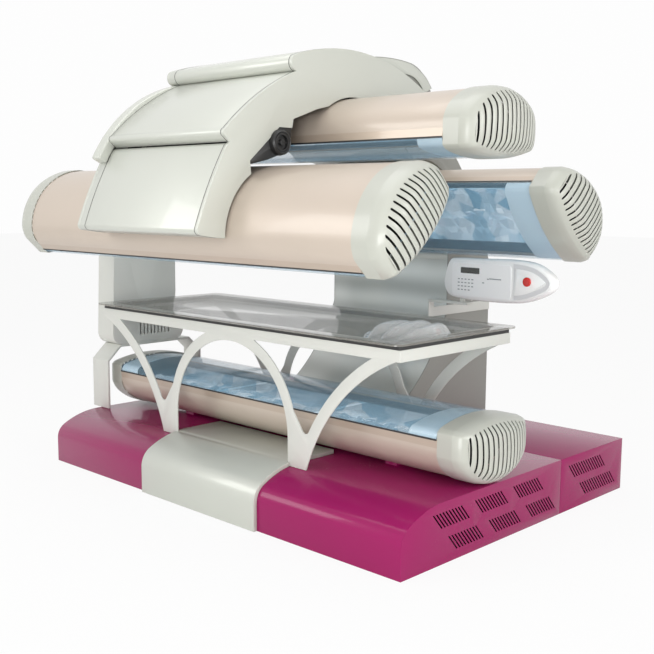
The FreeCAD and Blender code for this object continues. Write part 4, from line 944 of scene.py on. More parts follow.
@dataclass
class EndCap:
    """Domed cap with a row of louvre slots, as thin as the moulding."""

    tube: TubePlace
    section: Section = SECTION
    start: float = 1030.0
    ring: float = 70.0
    brow: Flat = (0.955, 102.0)
    shoulder: Flat = (0.86, 124.0)
    summit: Flat = (0.40, 186.0)
    apex: float = 164.0
    ball: float = 490.0
    proud: float = 3.0
    slots: int = 15
    pitch: float = 26.0
    wide: float = 8.5
    swell: float = 2.4
    rib_lines: tuple[float, ...] = (0.22, 0.5, 0.78)
    side_lines: int = 3
    wall: float = 3.0
    rows: int = 16
    end_row: float = 5.0
    blend: float = 12.0
    end_bow: float = 0.86
    rib_round: float = 0.3
    dome_loops: int = 5
    ring_step: float = 4.0
    reach_share: float = 0.999
    beyond: float = 500.0
    halvings: int = 30
    least_turn: float = 1e-9
    same_place: float = 1e-6

    def gauge(self) -> Callable[[float, float], float]:
        """Measure how far out a place lies.

        Returns:
            A function from a place to its share of the way from the section's middle to its outline.
        """
        middle = self.middle
        ring = [(u, w - middle) for u, w in self.section.loop(-self.proud)]
        polar = sorted((math.atan2(w, u), math.hypot(u, w)) for u, w in ring)
        full = 2 * math.pi
        polar = [(polar[-1][0] - full, polar[-1][1])] + polar + [(polar[0][0] + full, polar[0][1])]

        def share(u: float, w: float) -> float:
            """Interpolate the outline's radius in this direction.

            Args:
                u: Place across the mouth.
                w: Height out of the mouth.

            Returns:
                The place's share of that radius.
            """
            angle = math.atan2(w - middle, u)
            for first, last in zip(polar, polar[1:]):
                if first[0] <= angle <= last[0]:
                    part = (angle - first[0]) / max(last[0] - first[0], self.least_turn)
                    return math.hypot(u, w - middle) / (first[1] + (last[1] - first[1]) * part)
            return 0.0
        return share

    @property
    def middle(self) -> float:
        """Height of the section's middle."""
        return (self.section.rise - self.section.depth) / 2

    def height(self, share: float, radius: float) -> float:
        """How far along the tube the cap stands.

        Args:
            share: Share of the way out to the outline.
            radius: Distance from the middle.

        Returns:
            The place along the tube.
        """
        stops = ((1.0, self.ring), self.brow, self.shoulder, self.summit)
        for (near, low), (far, high) in zip(stops, stops[1:]):
            if share >= far:
                break
        cone = low + (high - low) * (near - share) / (near - far)
        sphere = self.apex - self.ball + math.sqrt(max(self.ball ** 2 - radius ** 2, 0.0))
        blend = max(self.blend - abs(cone - sphere), 0.0)
        return self.start + min(cone, sphere) - blend * blend / (4 * self.blend)

    def columns(self, reach: float) -> list[Flat]:
        """Lines across the slots.

        Args:
            reach: Place of the last line.

        Returns:
            Each line's place and the swell of the rib there.
        """
        lines: list[Flat] = []
        gap = self.pitch - self.wide
        for place in self.slot_starts():
            lines += [(place, 0.0), (place + self.wide, 0.0)]
            lines += [(place + self.wide + gap * part, self.swell) for part in self.rib_lines]
        lines = lines[:-len(self.rib_lines)]
        last = lines[-1][0]
        outer = [(last + (reach - last) * part / self.side_lines, 0.0)
                 for part in range(1, self.side_lines + 1)]
        return [(-place, swell) for place, swell in reversed(outer)] + lines + outer

    def slot_starts(self) -> list[float]:
        """Where each slot begins."""
        return [(number - (self.slots - 1) / 2) * self.pitch - self.wide / 2 for number in range(self.slots)]

    def halved(self, low: float, high: float, share_at: Callable[[float], float]) -> float:
        """Find by halving where the dome's shoulder begins.

        Args:
            low: A place within it.
            high: A place beyond it.
            share_at: Share of the way out at a place.

        Returns:
            The place.
        """
        for _ in range(self.halvings):
            centre = (low + high) / 2
            low, high = (centre, high) if share_at(centre) < self.shoulder[0] else (low, centre)
        return (low + high) / 2

    def build(self) -> bpy.types.Mesh:
        """Make the right-hand cap's mesh and its mirror image.

        Returns:
            One mesh with both caps.
        """
        share = self.gauge()
        middle = self.middle
        reach = self.halved(0.0, self.section.half, lambda u: share(u, middle))
        lines = self.columns(reach * self.reach_share)
        points: list[Point] = []
        faces: list[tuple[int, ...]] = []
        for u, swell in lines:
            bottom, top = (self.halved(middle, middle + way * self.beyond, lambda w: share(u, w))
                           for way in (-1, 1))
            inner = min(self.end_row, (top - bottom) / 4)
            heights = [bottom] + [bottom + inner + (top - bottom - 2 * inner) * row / (self.rows - 2)
                                  for row in range(self.rows - 1)] + [top]
            for row, w in enumerate(heights):
                bulge = math.sin(math.pi * row / self.rows) ** self.rib_round if 0 < row < self.rows else 0.0
                radius = math.hypot(u, w - middle)
                points.append((self.height(share(u, w), radius) + swell * bulge, u, w))
        span = self.rows + 1
        starts = self.slot_starts()
        opening = {number for number, (u, _) in enumerate(lines)
                   if any(abs(u - at) < self.same_place for at in starts)}
        for number in range(len(lines) - 1):
            first, second = number * span, (number + 1) * span
            if number in opening:
                self.round_end(points, faces, (first, first + 1, second + 1, second))
                self.round_end(points, faces, (second + span - 1, second + span - 2, first + span - 2,
                                               first + span - 1))
                continue
            for row in range(self.rows):
                faces.append((first + row, second + row, second + row + 1, first + row + 1))
        bottoms = [number * span for number in range(len(lines))]
        rim = bottoms + [index + span - 1 for index in reversed(bottoms)]
        previous = rim
        for part in range(1, self.dome_loops + 1):
            scale = self.shoulder[0] + (1 - self.shoulder[0]) * part / self.dome_loops
            previous = self.loop_out(points, faces, rim, previous, scale, None)
        for x in (self.start + self.ring - self.ring_step, self.start + self.ring / 2, self.start):
            previous = self.loop_out(points, faces, rim, previous, 1.0, x)
        world = [self.tube.world(*point) for point in points]
        twins = [(-x, y, z) for x, y, z in world]
        count = len(world)
        faces += [tuple(count + index for index in face) for face in faces]
        return walled(mesh_from(world + twins, faces), self.wall)

    def round_end(self, points: list[Point], faces: list[tuple[int, ...]],
                  corners: Sequence[int]) -> None:
        """Close one end of a slot with a half-round edge.

        Args:
            points: The mesh's points, added to.
            faces: The mesh's faces, added to.
            corners: Rim, side, side and rim point numbers, once round the end.
        """
        rim_a, side_a, side_b, rim_b = (Vector(points[index]) for index in corners)
        bow = []
        for angle in (45.0, 90.0, 135.0):
            across = (1 - math.cos(math.radians(angle))) / 2
            up = math.sin(math.radians(angle)) * self.end_bow
            base = side_a.lerp(side_b, across)
            points.append(tuple(base.lerp(rim_a.lerp(rim_b, across), up)))
            bow.append(len(points) - 1)
        first, near, far, last = corners
        faces += [(first, near, bow[0]), (first, bow[0], bow[1]), (first, bow[1], last),
                  (last, bow[1], bow[2]), (last, bow[2], far)]

    def loop_out(self, points: list[Point], faces: list[tuple[int, ...]], rim: Sequence[int],
                 previous: Sequence[int], scale: float, x: Union[float, None]) -> list[int]:
        """Add one more loop round the cap and join it to the last.

        Args:
            points: The mesh's points, added to.
            faces: The mesh's faces, added to.
            rim: The loop that the slots end on.
            previous: The last loop made.
            scale: Share of the outline for the new loop.
            x: Its place along the tube, or None to follow the dome.

        Returns:
            The new loop's point numbers.
        """
        loop = []
        for index in rim:
            _, u, w = points[index]
            grow = scale / self.shoulder[0]
            across, up = u * grow, (w - self.middle) * grow
            place = self.height(scale, math.hypot(across, up)) if x is None else x
            points.append((place, across, self.middle + up))
            loop.append(len(points) - 1)
        for number in range(len(rim)):
            following = (number + 1) % len(rim)
            faces.append((previous[number], previous[following], loop[following], loop[number]))
        return loop


@dataclass
class Reflector:
    """Crinkled sheet behind the lamps, with painted reflections and painted glow, and strips along both lips
    coloured dark navy as painted shadow of the lips.
    """

    tube: TubePlace
    half_length: float = 1024.0
    steps: int = 70
    crumple: float = 16.0
    drift: float = 11.0
    wall: float = 0.8
    seed: int = 7
    profile: tuple[Flat, ...] = ((214.0, -6.0), (196.0, -16.0), (168.0, -24.0), (146.0, -52.0),
                                 (122.0, -74.0), (78.0, -84.0), (36.0, -70.0), (0.0, -58.0),
                                 (-36.0, -70.0), (-78.0, -84.0), (-122.0, -74.0), (-146.0, -52.0),
                                 (-168.0, -24.0), (-196.0, -16.0), (-214.0, -6.0))
    edge_strips: int = 2

    def build(self) -> bpy.types.Mesh:
        """Make the sheet with a fixed seed.

        Returns:
            The sheet, with its edge trays as finish 1.
        """
        dice = random.Random(self.seed + int(self.tube.turn))
        points: list[Point] = []
        across = len(self.profile)
        for step in range(self.steps + 1):
            x = -self.half_length + 2 * self.half_length * step / self.steps
            for number, (u, w) in enumerate(self.profile):
                inner = self.edge_strips < number < across - 1 - self.edge_strips
                push = self.crumple * dice.random() if inner else 0.0
                shift = dice.uniform(-self.drift, self.drift) if inner and 0 < step < self.steps else 0.0
                points.append(self.tube.world(x + shift, u, w + push))
        # The edge strips take finish 1, the painted lip shadow.
        strips = [0 if self.edge_strips <= number < across - 1 - self.edge_strips else 1
                  for number in range(across - 1)]
        sheet = mesh_from(points, grid(self.steps + 1, across), strips * self.steps)
        return walled(modified(sheet, [("TRIANGULATE", {})]), self.wall)


@dataclass
class TubeShell:
    """Satin shell with its facets painted darker as shade, bulkheads painted near black as the shade inside
    the caps, and dark lip seals.
    """

    tube: TubePlace
    section: Section = SECTION
    half_length: float = 1030.0
    wall: float = 3.0
    seal: tuple[Flat, ...] = ((-0.6, -6.0), (0.1, 0.5))
    seal_wall: float = 1.6
    plate_inset: float = 2.0
    plate_gap: float = 0.5
    plate_wall: float = 1.2
    acrylic_wall: float = 5.0
    acrylic_inset: float = 2.6
    film_inset: float = 6.0
    film_gap: float = 3.0
    film_width: float = 118.0
    film_slant: float = 22.0
    film_wall: float = 0.5

    def sweep(self, path: Sequence[Flat], wall: float, strips: Sequence[int] = ()) -> bpy.types.Mesh:
        """Draw a path out along the tube and give it a wall.

        Args:
            path: Points across the tube.
            wall: The wall.
            strips: Finish number of each strip of the path, or nothing where there is one finish.

        Returns:
            The sheet.
        """
        points = [self.tube.world(x, u, w) for x in (-self.half_length, self.half_length) for u, w in path]
        return walled(mesh_from(points, grid(2, len(path)), strips), wall)

    def build(self) -> bpy.types.Mesh:
        """Make the shell: finish 0 on the body, 1 on the facets (painted shade) and 2 on the bulkheads
        (painted shade).

        Returns:
            The mesh.
        """
        path = self.section.shell_path(self.wall / 2)
        parts = [self.sweep(path, self.wall, [1] + [0] * (len(path) - 3) + [1])]
        loop = self.section.loop(self.wall + self.plate_gap)
        # The bulkheads take the near-black finish as painted shade seen through the cap slots.
        for x in (self.plate_inset - self.half_length, self.half_length - self.plate_inset):
            plate = mesh_from([self.tube.world(x, u, w) for u, w in loop], [tuple(range(len(loop)))], [2])
            parts.append(walled(plate, self.plate_wall))
        return joined(parts)

    def build_seals(self) -> bpy.types.Mesh:
        """Make the dark seals along both lips."""
        paths = [[(side * (self.section.half + out), w) for out, w in self.seal] for side in (-1.0, 1.0)]
        return joined([self.sweep(path, self.seal_wall) for path in paths])

    def build_acrylic(self) -> bpy.types.Mesh:
        """Make the clear acrylic."""
        return self.sweep(self.section.dome_path(self.acrylic_inset), self.acrylic_wall)

    def build_frosting(self) -> bpy.types.Mesh:
        """Make the frosted films inside the acrylic beside each cap.

        Returns:
            Both films.
        """
        path = self.section.dome_path(self.film_inset)
        films = []
        for side in (-1.0, 1.0):
            points: list[Point] = []
            for number, (u, w) in enumerate(path):
                width = self.film_width + self.film_slant * number / (len(path) - 1)
                points += [self.tube.world(side * (self.half_length - reach), u, w)
                           for reach in (self.film_gap, width)]
            films.append(walled(mesh_from(points, grid(len(path), 2)), self.film_wall))
        return joined(films)


@dataclass
class LampTube:
    """Everything of one lamp tube."""

    tube: TubePlace
    inner_edge: float = 0.5
    fan_edge: float = 0.4

    def build(self) -> None:
        """Build and dress the tube's pieces."""
        name, body = self.tube.name, self.tube.body
        shell = TubeShell(self.tube)
        piece(f"{name}_caps", EndCap(self.tube).build(), Skin.CAP, body, 34.0,
              (f"{name}_tube_end_caps",))
        piece(f"{name}_reflector", Reflector(self.tube).build(), (Skin.REFLECTOR, Skin.LIP_SHADOW), body,
              8.0, (f"{name}_tube_reflector_tray",))
        piece(f"{name}_frosting", shell.build_frosting(), Skin.FROSTED, body)
        piece(f"{name}_shell", shell.build(), (Skin.BEIGE, Skin.FACET, Skin.SHADE), body, 25.0,
              (f"{name}_tube_shell",))
        piece(f"{name}_lip_seals", shell.build_seals(), Skin.SEAL, body)
        piece(f"{name}_acrylic", shell.build_acrylic(), Skin.ACRYLIC, body,
              stands_for=(f"{name}_tube_acrylic",))
        for part, skin, slot in (("filter_panes", Skin.FILTER, "filter_glass"),
                                 ("burners", Skin.QUARTZ, "lamp_quartz")):
            Dressing(f"{name}_tube_{part}", skin, slot, self.inner_edge, body=body,
                     shift=(0.0, 0.0, self.tube.z - self.tube.solid_z)).build()
        Dressing(f"{name}_tube_fan", Skin.FAN, "fan_black", self.fan_edge, body=f"{name}_fan").build()


# ---------------------------------------------------------------- canopy arm
@dataclass
class Arm:
    """Cheeks, covers, roof, hood and liner of the lifting arm, in side-view millimetres."""

    half: float = 400.0
    cheek_thick: float = 16.0
    skin: float = 4.0
    pivot: Flat = (103.0, 1735.0)
    heel: float = 125.0
    shell_gap: float = 6.0
    toe_gap: float = 10.0
    lower: tuple[tuple[float, ...], ...] = ((-1002.0, 1180.0), (-1078.0, 1191.0), (-1099.0, 1213.0, -22.0),
                                            (-955.0, 1522.0, -1675.0))
    upper: tuple[tuple[float, ...], ...] = ((-938.0, 1534.0), (-968.0, 1558.0), (-960.0, 1584.0, -16.0),
                                            (-598.0, 1822.0, -1118.0))
    shelf: Flat = (-944.0, 1529.0)
    roof_centre: Flat = (-290.0, 936.0)
    roof_radius: float = 1000.0
    roll_y: float = -600.0
    roll_share: float = 0.51
    roof_end_y: float = -26.0
    heel_angles: tuple[float, ...] = (35.0, -80.0, 215.0)
    haunch_angle: float = 50.0
    top_crown_end: float = 156.0
    front_crown_start: float = -60.0
    liner: tuple[Flat, ...] = ((-481.0, 1683.0), (-613.0, 1636.0), (-620.0, 1601.0), (-688.0, 1601.0),
                               (-750.0, 1546.0), (-841.0, 1468.0))
    hood: tuple[Flat, ...] = ((-190.0, 1919.0), (-80.0, 1932.0), (50.0, 1933.0), (150.0, 1919.0),
                              (232.0, 1877.0), (280.0, 1829.0))
    left_rim: float = 343.0
    rim_foot: Flat = (-1025.0, 1490.0)
    rim_radius: float = 653.0
    rim_width: float = 45.0
    rim_bead: float = 12.0
    hood_half: float = 381.0
    hood_eye: float = 140.0
    hood_eye_angles: tuple[int, int, int] = (28, 125, 8)
    hood_bead: float = 1.5
    bead: float = 6.0
    panel_gap: float = 0.3
    seam: float = 2.6
    seam_proud: float = 0.8
    collar_steps: int = 48
    collar_reach: float = 2.0
    collar_lip: float = 15.0
    collar_face: Flat = (-4.0, 12.0)
    collar_nose: Flat = (2.0, 6.0)
    parts: tuple[Dressing, ...] = (
        Dressing("arm_liner", Skin.LINER, "liner_black", 1.0, body="canopy"),
        Dressing("arm_frame", Skin.STEEL, "dark_steel", 0.8, body="canopy"),
        Dressing("pivot_bushes", Skin.BUSH, "bearing_plastic", 0.4, body="canopy"),
        Dressing("nozzle_bracket", Skin.LINER, "liner_black", 0.8, body="canopy"),
        Dressing("air_nozzle", Skin.LINER, "liner_black", 1.0, body="nozzle"),
    )

    def on_roof(self, across: float) -> Flat:
        """A place on the roof's arc."""
        return (across, self.roof_centre[1] + math.sqrt(self.roof_radius ** 2
                                                        - (across - self.roof_centre[0]) ** 2))

    def around(self, radius: float, angle: float) -> Flat:
        """A place on a circle round the pivot, at an angle in degrees."""
        return (self.pivot[0] + radius * math.cos(math.radians(angle)),
                self.pivot[1] + radius * math.sin(math.radians(angle)))

    @property
    def roof(self) -> list[tuple[float, ...]]:
        """The roof's path.

        Returns:
            The roll's round front, then the long arc.
        """
        top, end = self.on_roof(self.roll_y), self.on_roof(self.roof_end_y)
        roll = self.roll_share * (top[1] - self.upper[-1][1])
        return [self.upper[-1][:2], (*top, -roll), (*end, -self.roof_radius)]

    def over_shell(self, tube: TubePlace, gap: float, start: tuple[str, float],
                   finish: tuple[str, float]) -> list[tuple[float, ...]]:
        """A path round a tube's shell, a gap outside it.

        Args:
            tube: The tube.
            gap: The clearance.
            start: Either an angle round the haunch or a place across the crown.
            finish: The same for the other end.

        Returns:
            The path's steps.
        """
        form = SECTION
        haunch, crown = form.haunch + gap, form.crown + gap
        side = form.foot - form.haunch
        share = crown / (form.crown - form.haunch)
        reach = share * side
        drop = form.crown - form.depth - share * (form.crown + form.facet - form.depth)

        def on_crown(across: float) -> Flat:
            """A place on the crown."""
            return tube.side(across, form.crown - form.depth - math.sqrt(crown ** 2 - across ** 2))

        def on_haunch(sign: float, angle: float) -> Flat:
            """A place on a haunch."""
            turn = math.radians(angle)
            return tube.side(sign * (side + haunch * math.sin(turn)), -(form.facet + haunch * math.cos(turn)))

        if start[0] == "haunch":
            steps = [on_haunch(-1.0, start[1]), (*tube.side(-reach, drop), haunch)]
        else:
            steps = [on_crown(start[1])]
        if finish[0] == "haunch":
            return steps + [(*tube.side(reach, drop), crown), (*on_haunch(1.0, finish[1]), haunch)]
        return steps + [(*on_crown(finish[1]), crown)]

    def cheek(self) -> list[Flat]:
        """Draw the cheek's closed outline.

        Returns:
            Its points.
        """
        rear = [(*self.around(self.heel, angle), radius) for angle, radius
                in zip(self.heel_angles, (-self.roof_radius, -self.heel, -self.heel))]
        haunch = ("haunch", self.haunch_angle)
        over_top = self.over_shell(TUBES["top"], self.shell_gap, haunch, ("crown", self.top_crown_end))
        toe = self.over_shell(TUBES["front"], self.toe_gap, ("crown", self.front_crown_start), haunch)
        return outline([*self.lower, *self.upper, *self.roof[1:], *rear, *over_top, *self.liner, *toe])

    def sheet(self, path: Sequence[Flat], left: float, right: float, proud: float = 0.0) -> bpy.types.Mesh:
        """Bend a sheet cover along a path that turns right over the bed.

        Args:
            path: The path of its outer face.
            left: Where it begins along the bed.
            right: Where it ends.
            proud: How much thicker than the covers it is.

        Returns:
            The sheet, with its edges rounded unless it stands proud.
        """
        middle = aside(path, self.skin / 2, False)
        return walled(swept(middle, left, right), self.skin + proud, 0.0 if proud else 1.0)

    def panel(self, name: str, mesh: bpy.types.Mesh, *stands_for: str) -> None:
        """Put one silver piece of the arm in the scene."""
        piece(name, mesh, Skin.SILVER, "canopy", 40.0, stands_for)

    def build(self) -> None:
        """Build and dress the arm."""
        inner = self.half - self.cheek_thick
        points = self.cheek()
        cheeks = [modified(slab(points, *ends), [rounding(self.bead, 4)])
                  for ends in ((inner, self.half), (-self.half, -inner))]
        self.panel("arm_cheeks", joined(cheeks), "arm_side_panels")
        self.panel("arm_left_rim", self.build_rim())
        paths = [outline([*self.lower, self.shelf]), outline(self.upper), outline(self.roof)]
        for label, path, left in zip(("lower", "upper", "roof"), paths, (inner, self.left_rim, inner)):
            node = "arm_roof" if label == "roof" else f"arm_{label}_cover"
            sheet = self.sheet(path, self.panel_gap - left, inner - self.panel_gap)
            self.panel(f"arm_{label}_panel", sheet, node)
        self.panel("arm_hood", self.build_hood(), "arm_rear_hood")
        seams = [self.sheet(path, place - self.seam / 2, place + self.seam / 2, self.seam_proud)
                 for path in paths for place in (-self.left_rim, inner)]
        piece("arm_seams", joined(seams), Skin.LINER, "canopy")
        for part in self.parts:
            part.build()
        piece("nozzle_collar", self.build_collar(), Skin.LINER, "canopy")

    def build_rim(self) -> bpy.types.Mesh:
        """Build the moulded rim on the left cheek.

        Returns:
            One smooth arc that runs out past the ridge.
        """
        outer = outline([self.rim_foot, (*self.upper[-1][:2], -self.rim_radius)])
        rim = slab([*outer, *reversed(aside(outer, self.rim_width, False))], -self.half, -self.left_rim)
        return modified(rim, [rounding(self.rim_bead, 5)])

    def build_collar(self) -> bpy.types.Mesh:
        """Build the collar round the air nozzle.

        Returns:
            A ring of one section turned about the nozzle's middle.
        """
        low, high = (Vector(corner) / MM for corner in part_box("air_nozzle"))
        middle, radius = (low + high) / 2, (high.z - low.z) / 2
        section = ((low.x, self.collar_reach), (low.x, self.collar_lip),
                   (high.x + self.collar_face[0], self.collar_face[1]),
                   (high.x + self.collar_nose[0], self.collar_nose[1]), (high.x, self.collar_reach))
        points: list[Point] = []
        for step in range(self.collar_steps + 1):
            angle = 2 * math.pi * step / self.collar_steps
            points += [(x, middle.y + (radius + reach) * math.cos(angle),
                        middle.z + (radius + reach) * math.sin(angle)) for x, reach in section]
        return mesh_from(points, grid(self.collar_steps + 1, len(section), True))

    def build_hood(self) -> bpy.types.Mesh:
        """Build the rear hood.

        Returns:
            A barrel sheet with closed ends.
        """
        top = spline(self.hood, 8, False)
        barrel = self.sheet(top, -self.hood_half, self.hood_half)
        eye = [self.around(self.hood_eye, angle) for angle in range(*self.hood_eye_angles)]
        ends = [modified(slab([*top, *eye], *span), [rounding(self.hood_bead)])
                for span in ((self.hood_half - self.skin, self.hood_half),
                             (-self.hood_half, self.skin - self.hood_half))]
        return joined([barrel] + ends)


# ---------------------------------------------------------------- stand
@dataclass(frozen=True)
class Group:
    """Sub-assembly whose pieces keep their CAD shapes."""

    parts: tuple[Dressing, ...] = ()

    def build(self) -> None:
        """Dress every piece."""
        for part in self.parts:
            part.build()


@dataclass(frozen=True)
class Base(Group):
    """Lacquered base with its saddle, floor pan and ballast."""

    parts: tuple[Dressing, ...] = (
        Dressing("base_front_shell", Skin.MAGENTA, "base_magenta", 1.0),
        Dressing("base_rear_cabinet", Skin.MAGENTA, "base_magenta", 0.8),
        Dressing("floor_pan", Skin.STEEL, "dark_steel", 0.8),
        Dressing("ballast_blocks", Skin.STEEL, "dark_steel", 3.0),
        Dressing("saddle_cover", Skin.SILVER, "silver_panel", 2.5),
    )


@dataclass(frozen=True)
class Column(Group):
    """Rear column with its throat and the shaft in its head."""

    parts: tuple[Dressing, ...] = (
        Dressing("column_side_plates", Skin.COLUMN, "column_grey", 1.2),
        Dressing("column_front_skin", Skin.FRONT, "silver_panel", 1.0),
        Dressing("column_throat_lining", Skin.FRONT, "silver_panel", 1.0),
        Dressing("column_rear_cover", Skin.SILVER, "silver_panel", 1.0),
        Dressing("pivot_shaft", Skin.SHAFT, "bright_steel", 1.5),
    )


@dataclass(frozen=True)
class Tower(Group):
    """Left tower with its yoke."""

    parts: tuple[Dressing, ...] = (
        Dressing("tower_yoke", Skin.WHITE, "white_steel", 2.5),
        Dressing("tower_housing", Skin.WHITE, "white_steel", 5.0),
    )


@dataclass(frozen=True)
class Bench(Group):
    """Steel frame, clear pan and clear headrest pillow."""

    parts: tuple[Dressing, ...] = (
        Dressing("bench_front_fascia", Skin.WHITE, "white_steel", 1.5),
        Dressing("bench_rear_fascia", Skin.WHITE, "white_steel", 1.5),
        Dressing("bench_end_rails", Skin.WHITE, "white_steel", 1.5),
        Dressing("bench_seal", Skin.SEAL, "seal_black", 1.0),
        Dressing("bench_acrylic", Skin.BENCH, "bench_clear", 2.5, 20.0),
    )
    pillow_steps: int = 48
    pillow_wall: float = 4.0
    pillow_waves: float = 3.5
    pillow_spread: float = 0.97
    pillow_corner: float = 0.42
    pillow_sway: Flat = (1.1, 2.2)
    pillow_floor: float = 0.12
    pillow_brow: float = 0.6

    def build(self) -> None:
        """Dress the frame and the pan, and form the pillow."""
        super().build()
        piece("pillow", self.build_pillow(), Skin.PILLOW, "stand", 60.0, ("headrest_pillow",))

    def build_pillow(self) -> bpy.types.Mesh:
        """Form the pillow: a clear sheet drawn up in waves within the space of its CAD solid.

        Returns:
            The mesh.
        """
        low, high = (Vector(corner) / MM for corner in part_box("headrest_pillow"))
        middle, half = (low + high) / 2, (high - low) / 2
        reach = half * self.pillow_spread
        points: list[Point] = []
        shares = [2 * step / self.pillow_steps - 1 for step in range(self.pillow_steps + 1)]
        for up in shares:
            for along in shares:
                x = middle.x + reach.x * along * math.sqrt(1 - self.pillow_corner * up ** 2)
                y = middle.y + reach.y * up * math.sqrt(1 - self.pillow_corner * along ** 2)
                crown = (1 - along ** 4) * (1 - up ** 4)
                sway = self.pillow_sway[0] * math.sin(self.pillow_sway[1] * up)
                wave = 0.5 + 0.5 * math.cos(self.pillow_waves * math.pi * along + sway)
                lift = (self.pillow_floor + (1 - self.pillow_floor) * wave) * crown ** self.pillow_brow
                points.append((x, y, low.z + self.pillow_wall + 2 * (half.z - self.pillow_wall) * lift))
        return walled(mesh_from(points, grid(len(shares), len(shares))), self.pillow_wall)


# ---------------------------------------------------------------- control pod
@dataclass
class Pod:
    """White control pod on its post, in its own frame: along it, through it and up."""

    post: Flat = (560.0, 310.0)
    turn: float = 5.0
    half_thick: float = 28.0
    corners: tuple[Flat, ...] = ((-67.0, 1049.0), (-19.0, 1063.0), (130.0, 1066.0), (292.0, 1069.0),
                                 (411.0, 1058.0), (488.0, 1021.0), (517.0, 983.0), (494.0, 940.0),
                                 (395.0, 896.0), (300.0, 880.0), (120.0, 875.0), (-36.0, 882.0),
                                 (-84.0, 909.0), (-97.0, 965.0))
    levels: tuple[Flat, ...] = ((28.0, 13.0), (25.5, 7.5), (20.0, 2.6), (12.0, 0.0), (-12.0, 0.0),
                                (-20.0, 2.6), (-25.5, 7.5), (-28.0, 13.0))
    panel: tuple[float, float, float, float] = (-39.0, 299.0, 893.0, 1046.0)
    split: float = 305.0
    bevel: float = 15.0
    bezel: float = 20.0
    bezel_gap: float = 6.0
    display: tuple[float, float, float, float] = (12.0, 122.0, 997.0, 1024.0)
    bevel_levels: tuple[Flat, ...] = ((1.0, 0.0), (-2.4, 1.2))
    nose_levels: tuple[Flat, ...] = ((0.0, 0.0), (-4.6, 0.0), (-5.4, 1.0))
    membrane: tuple[float, float, float] = (-3.0, 4.0, 16.0)
    screen: tuple[float, float, float] = (-3.6, 3.0, 3.0)
    plate_edge: Flat = (0.5, 0.6)
    print_front: float = -3.5
    key_rows: tuple[float, ...] = (922.0, 938.0, 954.0, 970.0)
    key_columns: tuple[float, ...] = (2.0, 22.0, 42.0, 62.0, 82.0)
    marks: tuple[Flat, ...] = ((172.0, 978.0), (145.0, 960.0))
    rule: tuple[int, int, int] = (185, 245, 11)
    rule_up: float = 980.0

    def world(self, along: float, through: float, up: float) -> Point:
        """Place a point given in the pod's own frame.

        Args:
            along: Place along the pod.
            through: Place through it, the front being negative.
            up: Height.

        Returns:
            The point in the bed's frame.
        """
        angle = math.radians(self.turn)
        return (self.post[0] + along * math.cos(angle) + through * math.sin(angle),
                self.post[1] - along * math.sin(angle) + through * math.cos(angle), up)

    def stack(self, points: Sequence[Flat], levels: Sequence[Flat]) -> bpy.types.Mesh:
        """A closed body from copies of an outline.

        Args:
            points: The outline, clockwise seen from the front.
            levels: Place through the pod and inset of each copy.

        Returns:
            The mesh.
        """
        count = len(points)
        corners = [self.world(along, through, up) for through, inset in levels
                   for along, up in aside(points, inset)]
        ends = [tuple(range(count)), tuple(range((len(levels) - 1) * count, len(levels) * count))]
        return mesh_from(corners, ends + grid(len(levels), count, True))

    def plate(self, box: tuple[float, float, float, float],
              build: tuple[float, float, float]) -> bpy.types.Mesh:
        """Make a flat plate with round corners on the pod's front.

        Args:
            box: Its left, right, lower and upper edge.
            build: Its face before the pod's front, its thickness and its corner radius.

        Returns:
            The mesh.
        """
        left, right, low, high = box
        face, thick, corner = build
        face -= self.half_thick
        points = []
        for across, up, start in ((right, high, 90), (right, low, 0), (left, low, -90), (left, high, -180)):
            centre = (across - math.copysign(corner, across - (left + right) / 2),
                      up - math.copysign(corner, up - (low + high) / 2))
            points += [(centre[0] + corner * math.cos(math.radians(start - part)),
                        centre[1] + corner * math.sin(math.radians(start - part)))
                       for part in (0, 30, 60, 90)]
        edge, inset = self.plate_edge
        return self.stack(points, ((face + thick, 0.0), (face + edge, 0.0), (face, inset)))

    def nosing(self, body: Sequence[Flat], inset: float, start: float,
               levels: Sequence[Flat]) -> bpy.types.Mesh:
        """Make a raised piece that follows the pod's nose.

        Args:
            body: The pod's outline.
            inset: How far inside it the piece runs.
            start: Where the piece begins along the pod.
            levels: Place before the pod's front and inset of each copy.

        Returns:
            The mesh.
        """
        points = [point for point in aside(body, inset) if point[0] > start]
        return self.stack(points, [(place - self.half_thick, step) for place, step in levels])

    def build(self) -> None:
        """Build and dress the pod."""
        body = spline(self.corners, 8)
        bevel = self.nosing(body, self.bevel, self.split, self.bevel_levels)
        nose = self.nosing(body, self.bevel + self.bezel, self.split + self.bezel_gap, self.nose_levels)
        for name, mesh, skin, angle, nodes in (
                ("pod_body", self.stack(body, self.levels), Skin.POD, 60.0, ("pod_shell",)),
                ("pod_bevel", bevel, Skin.BEVEL, 32.0, ()),
                ("pod_nose", nose, Skin.POD, 40.0, ()),
                ("pod_membrane", self.plate(self.panel, self.membrane), Skin.LABEL, 40.0, ("pod_face",)),
                ("pod_display", self.plate(self.display, self.screen), Skin.SCREEN, 32.0, ()),
                ("pod_keys", self.keys(), Skin.INK, 32.0, ())):
            piece(name, mesh, skin, "pod", angle, nodes)
        Dressing("stop_button", Skin.STOP, "stop_red", 3.0, body="stop").build()
        Dressing("pod_bracket", Skin.WHITE, "white_steel", 1.5).build()

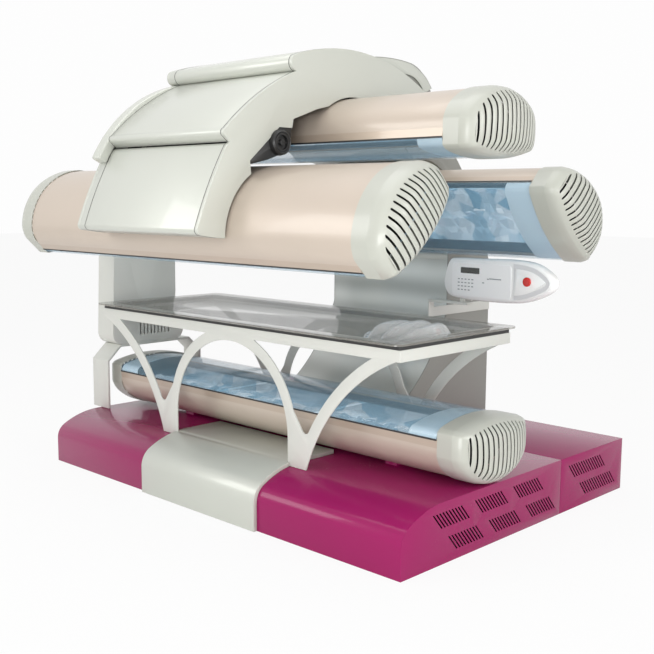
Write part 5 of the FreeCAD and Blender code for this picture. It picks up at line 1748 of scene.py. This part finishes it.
    def keys(self) -> bpy.types.Mesh:
        """Print plain key marks and a rule on the membrane.

        Returns:
            The printed marks.
        """
        recipe = Recipe("keypad", {"Width": 0.011, "Height": 0.0045, "Depth": 0.0008})
        size = recipe.add("ShaderNodeCombineXYZ", {}, {"X": recipe.size("Width"), "Y": recipe.size("Depth"),
                                                       "Z": recipe.size("Height")})
        key = recipe.add("GeometryNodeMeshCube", {}, {"Size": size})
        recipe.finish({"Instance": key}, Skin.INK)
        places = [(along, 0.0, up) for up in self.key_rows for along in self.key_columns
                  if (up, along) != (self.key_rows[0], self.key_columns[-1])]
        places += [(along, 0.0, up) for along, up in self.marks]
        mesh = recipe.run(places + [(along, 0.0, self.rule_up) for along in range(*self.rule)])
        origin = Vector(self.world(0.0, self.print_front - self.half_thick, 0.0)) * MM
        mesh.transform(Matrix.Translation(origin) @ Matrix.Rotation(math.radians(-self.turn), 4, "Z"))
        return mesh


# ---------------------------------------------------------------- fasteners
@dataclass
class Screws:
    """Domed screw heads on the column's sides."""

    radius: float = 5.0
    height: float = 2.4
    crown: float = 0.62
    sides: int = 20
    column_half: float = 375.0
    places: tuple[Flat, ...] = ((470.0, 240.0), (470.0, 620.0), (700.0, 240.0), (700.0, 620.0),
                                (560.0, 830.0), (640.0, 830.0))

    def group(self, name: str, side: float) -> None:
        """Grow one side's screws.

        Args:
            name: The group's name.
            side: 1 on the right of the bed and -1 on the left.
        """
        recipe = Recipe(name, {"Radius": self.radius * MM, "Height": self.height * MM})
        radius = recipe.size("Radius")
        head = recipe.add("GeometryNodeMeshCone", {},
                          {"Vertices": self.sides, "Radius Top": radius * self.crown,
                           "Radius Bottom": radius, "Depth": recipe.size("Height")}, "Mesh")
        way = recipe.add("GeometryNodeInputNamedAttribute", {"data_type": "FLOAT_VECTOR"}, {"Name": "facing"})
        turn = recipe.add("FunctionNodeAlignRotationToVector", {"axis": "Z"}, {"Vector": way})
        recipe.finish({"Instance": head, "Rotation": turn}, Skin.CHROME)
        mesh = recipe.run([(side * self.column_half, y, z) for y, z in self.places], (side, 0.0, 0.0))
        piece(name, mesh, Skin.CHROME, "stand", 20.0)

    def build(self) -> None:
        """Put the screws on both sides."""
        self.group("column_screws_right", 1.0)
        self.group("column_screws_left", -1.0)


def main() -> None:
    """Build the bed, its stage and its camera."""
    logging.basicConfig(level=logging.INFO, format="%(message)s")
    Studio().build()
    for tube in TUBES.values():
        LampTube(tube).build()
    for part in (Base(), Column(), Tower(), Bench(), Arm(), Pod(), Screws()):
        part.build()
    Viewpoint().build()


if __name__ == "__main__":
    main()
